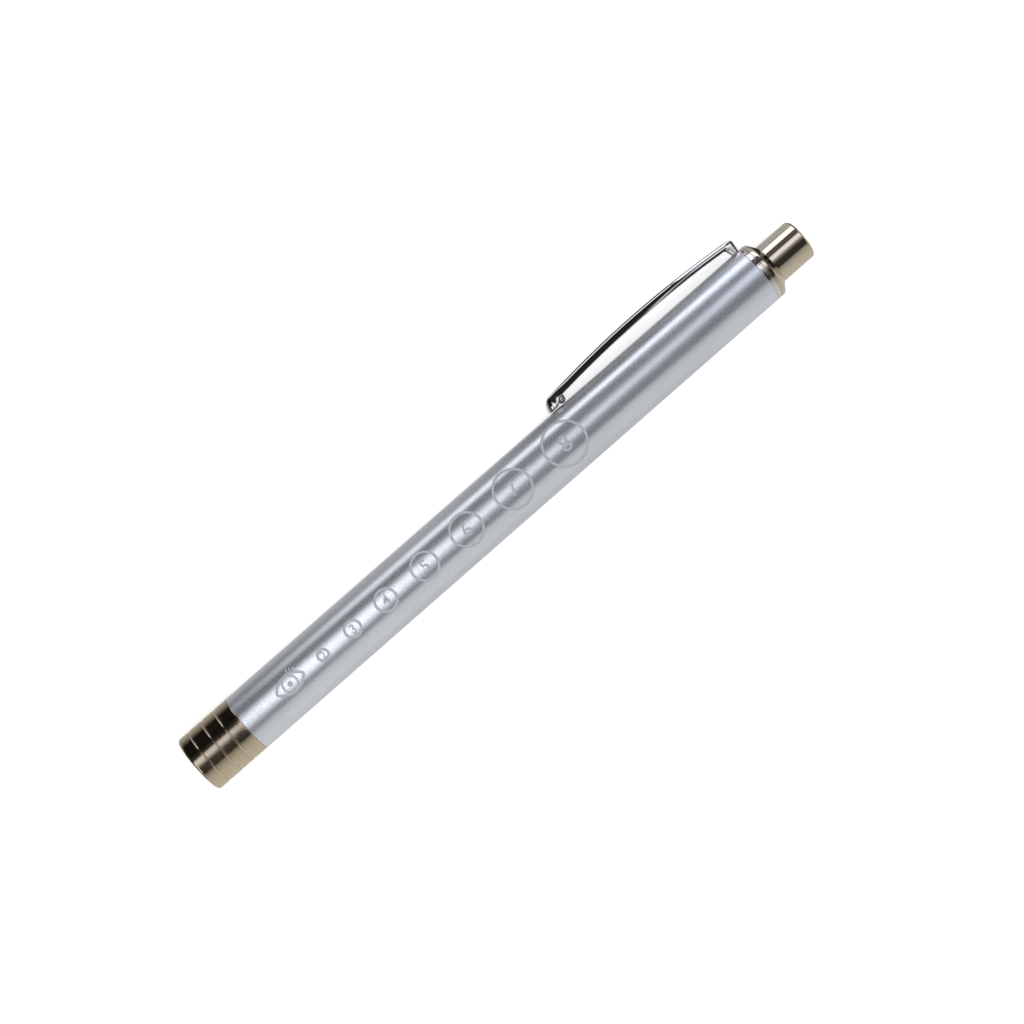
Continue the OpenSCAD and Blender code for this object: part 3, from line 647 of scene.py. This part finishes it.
dome = [(4.7, 0)]
for k in range(1, 17):
    a = pi / 2 * k / 16
    dome.append((4.7 + 2.5 * (1 - cos(a)), 2.5 * sin(a)))
led_bulb = turned("lamp_bulb", dome + [(12.3, 2.5, 0.05), (12.3, 2.9, 0.08), (13.3, 2.9, 0.08), (13.3, 0)])
dressed(led_bulb, "lamp", "lamp_resin", "led_body")

cup = bmesh.new()
turned("", [(8.6, 0.55, 0.03), (8.2, 0.95, 0.03), (8.2, 1.15, 0.05), (9.2, 0.8, 0.05), (9.2, 0), (8.6, 0)],
       form=cup, segments=48)
for side, length, middle in ((0.45, 4.0, 11.1), (-1.6, 4.6, 10.8)):
    post = bmesh.ops.create_cube(cup, size=1)
    bmesh.ops.scale(cup, verts=post["verts"], vec=(0.42, 0.5, length))
    bmesh.ops.translate(cup, verts=post["verts"], vec=(0, side, middle))
dressed(finished_mesh("lamp_cup", cup), "lamp", "tinned_wire")
die = turned("lamp_die", [(8.33, 0), (8.36, 0.6, 0.04), (8.58, 0.5, 0.02), (8.58, 0)], segments=40)
dressed(die, "lamp", "lamp_resin", finish="lamp_phosphor")

# %% [markdown]
# ## The clip
# The clip is one strip of sheet, folded to a channel: a web on the outside and a wall down each side.
# It starts as a ring under the collar, stands up as a foot, turns a tight bend, runs forward in a long
# low bow and ends in a deep round nose. Each station along it is one section between a point on the
# outer line and a point on the inner edge, and round the nose the stations fan out about one centre.

# %% Lines of the clip, seen from the side
# HALF is half the clip's width. Bend, nose and bow are arcs: X and Z of the centre, and the radius.
HALF = 1.7
SHEET = 0.45
BEND = (7.48, 133.45, 0.95)
TIP_Z = 89.0
NOSE = (6.33, 91.1, 2.1)
BOW = (-185.943, 112.275, 195.523)
EDGE_X = 5.87  # the walls' lower edge round the nose
FAN_Z = TIP_Z + HALF


def outer_x(z):
    """Distance of the clip's outer face from the axis on its arm."""
    if z < NOSE[1]:
        return NOSE[0] + sqrt(max(0.0, NOSE[2] ** 2 - (NOSE[1] - z) ** 2))
    return BOW[0] + sqrt(BOW[2] ** 2 - (z - BOW[1]) ** 2)


def ease(value, start, end):
    """0 before start, 1 after end, and a smooth rise between."""
    share = min(max((value - start) / (end - start), 0.0), 1.0)
    return share * share * (3 - 2 * share)


def inner_x(z):
    """Distance of the lower edge of the side walls from the axis on the arm."""
    depth = 1.55 - 0.25 * ease(z, 110, 132)
    return EDGE_X + (outer_x(max(z, 92.9)) - depth - EDGE_X) * ease(z, 91.0, 92.3)


def curl_in(z):
    """How far the lower edge curls in: a little all along, more round the nose."""
    return 0.48 - 0.45 * ease(z, 91.0, 92.8)


def fold_at(z):
    """Radius of the fold between web and wall: it tightens towards the nose."""
    return 0.4 + 0.4 * ease(z, 91.6, 95.0)


def lean(z):
    """Angle of the wall at its lower edge: it leans out on the arm and turns under at the bend."""
    return 73 + 13 * (1 - ease(z, 90.7, 92.0)) + 36 * ease(z, 108.0, 127.0)


def stations():
    """Outer and inner (x, z) points from the foot, over the bend and along the arm to the nose."""
    root_x, foot_top = 5.42, 7.1
    line = []
    for k in range(9):
        x = root_x + (BEND[0] - root_x) * k / 8
        outer_z = BEND[1] + BEND[2] - 0.3 * (1 - k / 8)
        inner = 5.7 + (foot_top - 5.7) * k / 8
        line.append(((x, outer_z), (inner if k else root_x, 133.16 - 0.5 * k / 8)))
    for k in range(1, 13):
        a = pi / 2 * (1 - k / 12)
        outer = (BEND[0] + BEND[2] * cos(a), BEND[1] + BEND[2] * sin(a))
        line.append((outer, (foot_top + 0.02 * k / 12, 132.66 - 0.1 * k / 12)))
    arm = [132.9, 132.4, 131.5] + [131.0 - 3.0 * k for k in range(13)]
    arm += [94.2, 93.6, 93.2, 92.9, 92.6, 92.3, 92.0, 91.6, 91.1, FAN_Z]
    for z in arm:
        line.append(((outer_x(z), z), (inner_x(z), min(z, 132.5))))
    return line


print("clip stations:", len(stations()))

# %% [markdown]
# A section isn't a square channel. The reflections run side by side along it: grey on top, then a white
# line, then a wide dark band. A mirror shows a wide band where it hardly curves and a thin one where it
# curves fast, so the web is nearly flat, the fold is round and the wall is a nearly flat slope.

# %% One section
WEB_TURN, FOLD_TURN = 8, 62
FOLD_STEPS, WALL_STEPS = 7, 10


def section(depth, curl, wall, fold):
    """Points from the lower edge to the middle: height over the edge and distance from the middle."""
    points = [(0.06 * share, 0.0, share) for share in (0.0, 0.35, 0.7, 1.0)]
    drop, out = points[-1][0], 0.0
    for k in range(FOLD_STEPS):
        a, b = (radians(WEB_TURN + (FOLD_TURN - WEB_TURN) * (k + i) / FOLD_STEPS) for i in (0, 1))
        drop += fold * (cos(a) - cos(b))
        out += fold * (sin(b) - sin(a))
        points.append((drop, out, 1.0))
    turns = []
    for k in range(WALL_STEPS):
        share = 0.3 * (k + 0.5) / WALL_STEPS + 0.7 * ease(k + 0.5, 0, WALL_STEPS)
        turns.append(radians(FOLD_TURN + (wall - FOLD_TURN) * share))
    stride = max(depth - curl - drop, 0.05) / sum(sin(turn) for turn in turns)
    for turn in turns:
        drop += stride * sin(turn)
        out += stride * cos(turn)
        points.append((drop, out, 1.0))
    web = HALF - max(o for _, o, _ in points)
    rows = [(depth - d, o + share * web) for d, o, share in points]
    for turn in (20, 45, 70):
        turn = radians(turn)
        rows.append((curl * (1 - sin(turn)), out + web - curl * (1 - cos(turn))))
    return rows[::-1]


# %% The strip
strip = bmesh.new()
grid = []
line = stations()
for side in (-1, 1):
    for outer, inner in line if side < 0 else list(reversed(line)):
        reach = Vector(outer) - Vector(inner)
        on_arm = outer[1] < 133
        rows = section(reach.length, curl_in(inner[1]) if on_arm else 0.08, lean(inner[1]) if on_arm else 90,
                       fold_at(inner[1]) if on_arm else 0.45)
        column = []
        for height, out in rows:
            point = Vector(inner) + reach.normalized() * height
            column.append(strip.verts.new((point.x, side * out, point.y)))
        grid.append(column)
    if side < 0:
        fan_depth = outer_x(FAN_Z) - inner_x(FAN_Z)
        for k in range(1, 24):
            fan = pi * k / 24
            column = []
            tip = sin(fan) ** 2
            rows = section(fan_depth, curl_in(FAN_Z), lean(FAN_Z) + 10 * tip, fold_at(FAN_Z) + 0.3 * tip)
            for height, out in rows:
                top = outer_x(FAN_Z - 0.95 * out * sin(fan))
                x = inner_x(FAN_Z) + (top - inner_x(FAN_Z)) * height / fan_depth
                column.append(strip.verts.new((x, -out * cos(fan), FAN_Z - out * sin(fan))))
            grid.append(column)
for left, right in zip(grid, grid[1:]):
    for k in range(len(left) - 1):
        strip.faces.new((left[k], right[k], right[k + 1], left[k + 1]))
bmesh.ops.remove_doubles(strip, verts=strip.verts, dist=0.002)
clip_strip = finished_mesh("clip_strip", strip)
print("clip strip:", len(clip_strip.data.polygons), "faces, one sheet without thickness")

# %% [markdown]
# Solidify gives the sheet its thickness and Bevel breaks its edges. The ring, the boss and its stem join
# it as closed bodies, and the whole becomes one mesh, because it is one piece of steel.

# %% Thickness, ring and boss
solid = clip_strip.modifiers.new("sheet", "SOLIDIFY")
solid.thickness = SHEET * MM
solid.offset = -1
solid.use_even_offset = True
bevel = clip_strip.modifiers.new("edges", "BEVEL")
bevel.width = 0.07 * MM
bevel.segments = 2
bevel.limit_method = "ANGLE"
bevel.angle_limit = radians(50)
baked(clip_strip)

clamp = bmesh.new()
turned("", [(134.38, 5.31, 0.03), (134.38, BARREL_R, 0.08), (134.75, BARREL_R, 0.08), (134.75, 5.31, 0.03)],
       form=clamp)
turned("", [(133.85, 5.31, 0.03), (133.85, BARREL_R, 0.08), (134.4, BARREL_R, 0.03), (134.4, 5.31, 0.03)],
       form=clamp, sweep=(38.8, 321.2))
boss_x, boss_z, boss_r = 6.67, 92.27, 0.88
turns = [pi * k / 16 for k in range(1, 16)]
arc = [(boss_z - boss_r * cos(a), boss_r * sin(a)) for a in turns]
ball = bmesh.new()
turned("", [(boss_z - boss_r, 0)] + arc + [(boss_z + boss_r, 0)], form=ball, segments=32)
bmesh.ops.translate(ball, verts=ball.verts, vec=(boss_x, 0, 0))
stem = bmesh.ops.create_cone(ball, cap_ends=True, segments=24, radius1=0.4, radius2=0.4, depth=1.6)
bmesh.ops.rotate(ball, verts=stem["verts"], matrix=Matrix.Rotation(pi / 2, 3, "Y"))
bmesh.ops.translate(ball, verts=stem["verts"], vec=(boss_x + 0.95, 0, boss_z))
parts = [clip_strip, finished_mesh("clip_clamp", clamp), finished_mesh("clip_boss", ball)]
joined = bmesh.new()
for part in parts:
    joined.from_mesh(part.data)
spring_clip = linked("spring_clip", bpy.data.meshes.new("spring_clip"))
joined.to_mesh(spring_clip.data)
joined.free()
for part in parts:
    bpy.data.objects.remove(part)
dressed(spring_clip, None, "chrome_clip", "clip_ring", "clip_arm")
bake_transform(spring_clip)

# %% [markdown]
# ## The pupil gauge
# Circles marked 2 to 8 run along the barrel, each as many millimetres across as its number says, so
# that a pupil can be matched to one. They are drawn flat, as seen from the laser that marks them. A
# Geometry Nodes tree then lays the drawing on the barrel from that side, as thin raised marks, so the
# circles look round although the barrel falls away. Numbers are set in the plain built-in typeface.

# %% Flat drawing tools
MARK = 0.012
drawing = bmesh.new()


def drawn_band(points, width, closed=False):
    """A flat band of a width along points of the drawing."""
    count = len(points)
    pairs = []
    for i, point in enumerate(points):
        a = Vector(points[(i - 1) % count] if closed or i else point)
        b = Vector(points[(i + 1) % count] if closed or i < count - 1 else point)
        way = (b - a).normalized()
        out = Vector((-way.y, way.x)) * width / 2
        p = Vector(point)
        pairs.append((drawing.verts.new((*(p + out), 0)), drawing.verts.new((*(p - out), 0))))
    for i in range(count if closed else count - 1):
        (a, b), (c, d) = pairs[i], pairs[(i + 1) % count]
        drawing.faces.new((a, b, d, c))


def drawn_arc(centre, radius, start, end, steps, tall=1.0):
    """Points of an arc in the drawing, from one angle to another in degrees."""
    points = []
    for k in range(steps + 1):
        a = radians(start + (end - start) * k / steps)
        points.append((centre[0] + radius * cos(a), centre[1] + radius * tall * sin(a)))
    return points


def drawn_number(text, centre, height):
    """A number in the built-in typeface, as flat mesh, centred in the drawing."""
    words = bpy.data.curves.new("number", "FONT")
    words.body = text
    words.size = height / 0.7
    words.offset = 0.03
    words.resolution_u = 6
    holder = linked("number", words)
    mesh = mesh_of(holder)
    bpy.data.objects.remove(holder)
    low, high = (Vector([pick(v.co[i] for v in mesh.vertices) for i in range(2)]) for pick in (min, max))
    mesh.transform(Matrix.Translation((*(Vector(centre) - (low + high) / 2), 0)))
    drawing.from_mesh(mesh)
    bpy.data.meshes.remove(mesh)


# %% Circles and numbers
LINE = 0.48
gauge = ((2, 30.09, 1.4), (3, 37.07, 1.7), (4, 44.82, 2.05), (5, 53.98, 2.3), (6, 63.86, 2.6),
         (7, 74.78, 2.7), (8, 87.11, 3.15))
for size, along_z, tall in gauge:
    drawn_band(drawn_arc((along_z, 0), 0.515 * size, 0, 360, 72, tall=0.985)[:-1], LINE, closed=True)
    drawn_number(str(size), (along_z, 0), tall)

# %% [markdown]
# An eye shows what the gauge is for: two lids, an iris, a pupil and three short lashes.

# %% The eye
eye_z = 22.36
lid_r, lid_drop = 3.7, 2.05
open_angle = degrees(acos(lid_drop / lid_r))
upper = drawn_arc((eye_z, -lid_drop), lid_r, 90 - open_angle, 90 + open_angle, 30)
lower = drawn_arc((eye_z, lid_drop), lid_r, 270 - open_angle, 270 + open_angle, 30)
drawn_band(upper + lower[1:-1], LINE, closed=True)
drawn_band(drawn_arc((eye_z, 0), 1.45, 0, 360, 48)[:-1], 0.38, closed=True)
drawn_band(drawn_arc((eye_z, 0), 0.25, 0, 360, 24)[:-1], LINE, closed=True)
for foot, slant in ((0.75, 0.18), (1.3, 0.3), (1.85, 0.42)):
    base = sqrt(lid_r ** 2 - foot ** 2) - lid_drop + 0.3
    drawn_band([(eye_z + foot, base), (eye_z + foot + slant, base + 0.62)], 0.3)
print("drawing:", len(drawing.faces), "faces")

# %% [markdown]
# ### Bending the drawing round the barrel
# The drawing's faces are cut until they are short beside the barrel's radius. The tree lifts a second
# skin off them for thickness, and turns every point round the axis by the angle at which the barrel lies
# under it: the arcsine of its height in the drawing over the radius.

# %% The wrapping tree
wrapping, asked, given = group(
    "wrap round a barrel", ["Geometry"], "Geometry",
    Barrel_radius=BARREL_R, Middle=0.0, Thickness=MARK, Material=None,
)
upwards = new_node(wrapping, "ShaderNodeCombineXYZ", Z=maths("MULTIPLY", asked["Thickness"], 2.0))
lifted = new_node(wrapping, "GeometryNodeExtrudeMesh", Mesh=asked["Geometry"], Offset=upwards,
                  Individual=False)
both = new_node(wrapping, "GeometryNodeJoinGeometry", Geometry=lifted)
fill(both, Geometry=new_node(wrapping, "GeometryNodeFlipFaces", Mesh=asked["Geometry"]))
flat = new_node(wrapping, "GeometryNodeInputPosition")
parted = new_node(wrapping, "ShaderNodeSeparateXYZ", Vector=flat).outputs
angle = maths("ARCSINE", maths("DIVIDE", parted["Y"], asked["Barrel radius"]))
angle = maths("ADD", angle, asked["Middle"])
reach = maths("ADD", asked["Barrel radius"], maths("SUBTRACT", parted["Z"], asked["Thickness"]))
bent = new_node(wrapping, "ShaderNodeCombineXYZ", X=maths("MULTIPLY", reach, maths("SINE", angle)),
                Y=maths("MULTIPLY", reach, maths("COSINE", angle)), Z=parted["X"])
moved = new_node(wrapping, "GeometryNodeSetPosition", Geometry=both, Position=bent)
made_real(given, moved, asked["Material"])

# %% Bend the marks
bmesh.ops.remove_doubles(drawing, verts=drawing.verts, dist=0.0001)
for _ in range(4):
    long_edges = [e for e in drawing.edges if abs(e.verts[0].co.y - e.verts[1].co.y) > 0.35]
    if not long_edges:
        break
    bmesh.ops.subdivide_edges(drawing, edges=long_edges, cuts=1)
bmesh.ops.triangulate(drawing, faces=drawing.faces)
for face in drawing.faces:
    if face.normal.z < 0:
        face.normal_flip()
flat_mesh = bpy.data.meshes.new("gauge_flat")
drawing.to_mesh(flat_mesh)
drawing.free()
gauge_marks = from_tree("gauge_marks", wrapping, "lasered_marks", flat_mesh, welded=0.00005,
                        Middle=radians(1.7))
dressed(gauge_marks, "barrel", "anodised_barrel", finish="lasered_marks")

# %% [markdown]
# ## Table and room
# The light lies on pale paper in a white room. For the camera alone the paper also glows a little, so
# the ground comes out as white as the world and still keeps the soft shadow at the light's foot.

# %% The table
FLOOR_Z = -BARREL_R * MM
HALF_TABLE = 2.5
corners = [(x * HALF_TABLE, y * HALF_TABLE, FLOOR_Z) for x, y in ((-1, -1), (1, -1), (1, 1), (-1, 1))]
table_mesh = bpy.data.meshes.new("table")
table_mesh.from_pydata(corners, [], [(0, 1, 2, 3)])
table = linked("table", table_mesh)
table.visible_glossy = False
material = bpy.data.materials.new("table_paper")
material.use_nodes = True
tree = material.node_tree
paper = fill(tree.nodes["Principled BSDF"], Base_Color=(0.86, 0.86, 0.86, 1), Roughness=0.9,
             Specular_IOR_Level=0.0)
glow = new_node(tree, "ShaderNodeEmission", Strength=0.6)
rays = new_node(tree, "ShaderNodeLightPath").outputs
both = tree.nodes.new("ShaderNodeAddShader")
only_seen = new_node(tree, "ShaderNodeMixShader", Fac=rays["Is Camera Ray"])
for node, place, source in ((both, 0, paper), (both, 1, glow), (only_seen, 1, paper), (only_seen, 2, both)):
    feed(node.inputs[place], source)
fill(tree.nodes["Material Output"], Surface=only_seen)
table_mesh.materials.append(material)

# %% The world
world = bpy.data.worlds.new("white room")
bpy.context.scene.world = world
world.use_nodes = True
rays = new_node(world.node_tree, "ShaderNodeLightPath").outputs
seen = maths("MAXIMUM", rays["Is Camera Ray"], rays["Is Transmission Ray"])
seen = maths("MAXIMUM", seen, rays["Is Glossy Ray"])
fill(world.node_tree.nodes["Background"], Color=(1, 1, 1, 1), Strength=spread(seen, 0.0, 1.0, 0.72, 1.0))

# %% [markdown]
# ### What the metal reflects
# Bright metal has no look of its own: it shows windows, lamps, the table and the dark of the room. Here
# these are painted on one tube round the light as a painted reflection, seen by reflections alone, so it
# lights nothing and casts no shadow. A place on it is given by its angle about the axis, in degrees from
# straight up towards the clip's side, and by its X. The table's side is pale and darkens towards the
# light's own contact with it, as a painted contact shadow, and the room overhead is dark, with a window
# and a lamp as long strips in it.
#
# Each patch is a row: four angles round the tube (it fades in between the first two and out between
# the last two), how many degrees wider it is at the head's end, the same four places along X, its
# level at the tail's end and at the head's end, and its shade. Later rows are painted over earlier.

# %% Patches of the room
# Painted reflection by angle: the pale table side, darker near the light as a painted contact shadow, then
# the dark room overhead.
LEVELS = ((-180, 0.62), (-90, 0.74), (-60, 0.69), (-45, 0.62), (-35, 0.54), (-28, 0.46), (-21, 0.33),
          (-17, 0.21), (-12, 0.06), (-8, 0.05), (20, 0.07), (58, 0.03), (62, 0.012), (118, 0.012),
          (127, 0.12), (140, 0.30), (153, 0.45), (180, 0.60))
DAYLIGHT, LAMPLIGHT, SHADE, PLAIN = (0.95, 1.0, 1.15), (0.99, 1.0, 1.02), (0.5, 1.0, 1.4), (1, 1, 1)
TAIL_X, HEAD_X = -0.202, 0.024
AT_TAIL, FAR_TAIL = (-0.8, -0.6, TAIL_X - 0.004, TAIL_X), (-1.7, -1.65, TAIL_X - 0.004, TAIL_X)
BARREL_SIDE = (TAIL_X, TAIL_X + 0.006, HEAD_X - 0.003, HEAD_X)
PATCHES = (
    ((-9, -4, 58, 61), 0, BARREL_SIDE, (0.04, 0.04), SHADE),
    ((61, 62, 82, 84), 0, BARREL_SIDE, (0.02, 0.03), PLAIN),
    ((-170, -115, -88, -60), 0, BARREL_SIDE, (0.56, 0.60), PLAIN),
    ((-84, -66, -22, -14), 7, BARREL_SIDE, (0.60, 0.78), PLAIN),
    # Painted shade: a black band that darkens the barrel's upper edge under the clip, in place of the clip's
    # shadow.
    ((117, 120, 158, 174), 0, (TAIL_X, TAIL_X + 0.006, -0.11, -0.09), (0.0, 0.0), PLAIN),
    ((114, 124, 158, 172), 0, (-0.1, -0.09, -0.03, 0.0), (0.60, 0.35), PLAIN),
    # Painted shade: the dark tail end of the room, which the collar's sloping lip reflects as the shadowed
    # gap at the button.
    ((-20, -14, 8, 20), 0, FAR_TAIL, (0.045, 0.045), PLAIN),
    ((62, 66, 74, 80), 0, FAR_TAIL, (0.15, 0.15), PLAIN),
    ((112, 118, 200, 201), 0, AT_TAIL, (0.60, 0.60), DAYLIGHT),
    ((19, 30, 36, 50), 7, BARREL_SIDE, (0.62, 1.6), LAMPLIGHT),
    ((-5, 20, 44, 68), 0, (-0.08, 0.012, HEAD_X - 0.003, HEAD_X), (2.4, 4.2), LAMPLIGHT),
    ((12, 36, 38, 51), 0, (HEAD_X, HEAD_X + 0.003, 0.048, 0.054), (0.4, 1.05), DAYLIGHT),
    ((12, 36, 38, 51), 0, (0.048, 0.054, 0.5, 0.6), (1.05, 1.05), DAYLIGHT),
    ((12, 26, 50, 62), 0, AT_TAIL, (0.28, 0.28), DAYLIGHT),
    ((23, 42, 46, 62), 0, AT_TAIL, (1.4, 1.4), DAYLIGHT),
    ((91, 96, 105, 115), 6, (TAIL_X, TAIL_X + 0.006, HEAD_X - 0.012, HEAD_X - 0.006), (2.1, 1.05), LAMPLIGHT),
    ((79, 88, 110, 117), 0, AT_TAIL, (2.0, 2.0), DAYLIGHT),
    # Painted shade: dark patches that the collar's sloping lip reflects, standing in for the shadowed gap
    # between collar and button.
    ((158, 168, 200, 201), 0, (-1.2, -1.0, -0.34, -0.28), (0.03, 0.03), PLAIN),
    ((-201, -200, -165, -155), 0, (-1.2, -1.0, -0.34, -0.28), (0.03, 0.03), PLAIN),
    ((-12, -4, 40, 50), 0, (0.3, 0.35, 0.6, 0.65), (1.5, 1.5), DAYLIGHT),
    ((-201, -200, 200, 201), 0, (0.65, 0.75, 0.95, 1.1), (0.12, 0.12), PLAIN),
)


def level_at(angle, x):
    """Colour of the tube at one place."""
    for (a, low), (b, high) in zip(LEVELS, LEVELS[1:]):
        if a <= angle <= b:
            level = low + (high - low) * (angle - a) / (b - a)
    colour = Vector((level, level, level))
    for (a, b, c, d), wider, (e, f, g, h), (tail_level, head_level), shade in PATCHES:
        share = min(max((x - f) / (g - f), 0.0), 1.0)
        w = wider * share
        cover = ease(angle, a - w, b - w / 2) * (1 - ease(angle, c + w / 2, d + w))
        cover *= ease(x, e, f) * (1 - ease(x, g, h))
        colour = colour.lerp(Vector(shade) * (tail_level + (head_level - tail_level) * share), cover)
    return colour


# %% The tube
TUBE_R = 0.45
columns = [-1.6, -1.2, -1.0, -0.8, -0.7, -0.6, -0.4, -0.3, -0.26, -0.24, -0.23]
columns += [-0.214 + 0.002 * k for k in range(12)] + [-0.18 + 0.02 * k for k in range(10)]
columns += [0.02 + 0.002 * k for k in range(21)] + [0.1, 0.2, 0.3]
columns += [0.35 + 0.05 * k for k in range(9)] + [0.95, 1.1, 1.6]
ends = [(columns[0], 0.001)] + [(x, TUBE_R) for x in columns] + [(columns[-1], 0.001)]
points, colours, faces = [], [], []
for degree in range(-180, 181):
    a = radians(degree)
    for x, r in ends:
        points.append((x, -r * sin(a), r * cos(a)))
        colours += [*level_at(degree, x), 1.0]
    if degree < 180:
        first, count = len(points) - len(ends), len(ends)
        faces += [(k, k + 1, k + count + 1, k + count) for k in range(first, first + count - 1)]
tube_mesh = bpy.data.meshes.new("room_tube")
tube_mesh.from_pydata(points, [], faces)
tube_mesh.attributes.new("painted", "FLOAT_COLOR", "POINT").data.foreach_set("color", colours)
room_tube = linked("room_tube", tube_mesh)
material = bpy.data.materials.new("room_tube")
material.use_nodes = True
material.cycles.emission_sampling = "NONE"
tree = material.node_tree
tree.nodes.remove(tree.nodes["Principled BSDF"])
painted_on = tree.nodes.new("ShaderNodeAttribute")
painted_on.attribute_name = "painted"
fill(tree.nodes["Material Output"], Surface=new_node(tree, "ShaderNodeEmission", Color=painted_on))
tube_mesh.materials.append(material)
room_tube.visible_camera = False
room_tube.visible_diffuse = False
room_tube.visible_shadow = False
room_tube.visible_transmission = False
print("tube:", len(faces), "faces")

# %% [markdown]
# One large soft lamp overhead lights what isn't metal and gives the table its shadow. Reflections
# don't see it, because the tube already shows them a lamp.

# %% The lamp
TILT = radians(20)
LAMP_AWAY = 0.6
soft = bpy.data.lights.new("soft lamp", "AREA")
soft.shape = "SQUARE"
soft.size = 0.4
soft.energy = 0.7
lamp = linked("soft_lamp", soft)
lamp.location = (-0.05, -LAMP_AWAY * sin(TILT), LAMP_AWAY * cos(TILT))
lamp.rotation_euler = (-TILT, 0, 0)
lamp.visible_glossy = False

# %% [markdown]
# ## The camera
# The camera stands above the clip's side, 420 mm from the light, and is rolled so that the light
# climbs to the right. Its place was worked out from the ends of the barrel and the bow of its rings.

# %% The camera
right = Vector((-0.75146156, 0.58041556, 0.31372395))
up = Vector((-0.65868984, -0.68726228, -0.30626406))
back = Vector((0.03785023, -0.43679269, 0.89876554))
camera_data = bpy.data.cameras.new("camera")
camera_data.lens = 81.98
camera_data.clip_start = 0.01
camera = linked("camera", camera_data)
pose = Matrix((right, up, back)).transposed().to_4x4()
pose.translation = (-0.05627, -0.18099, 0.37900)
camera.matrix_world = pose
bpy.context.scene.camera = camera

# %% Colours as they are
import json

bpy.context.scene.view_settings.view_transform = "Standard"
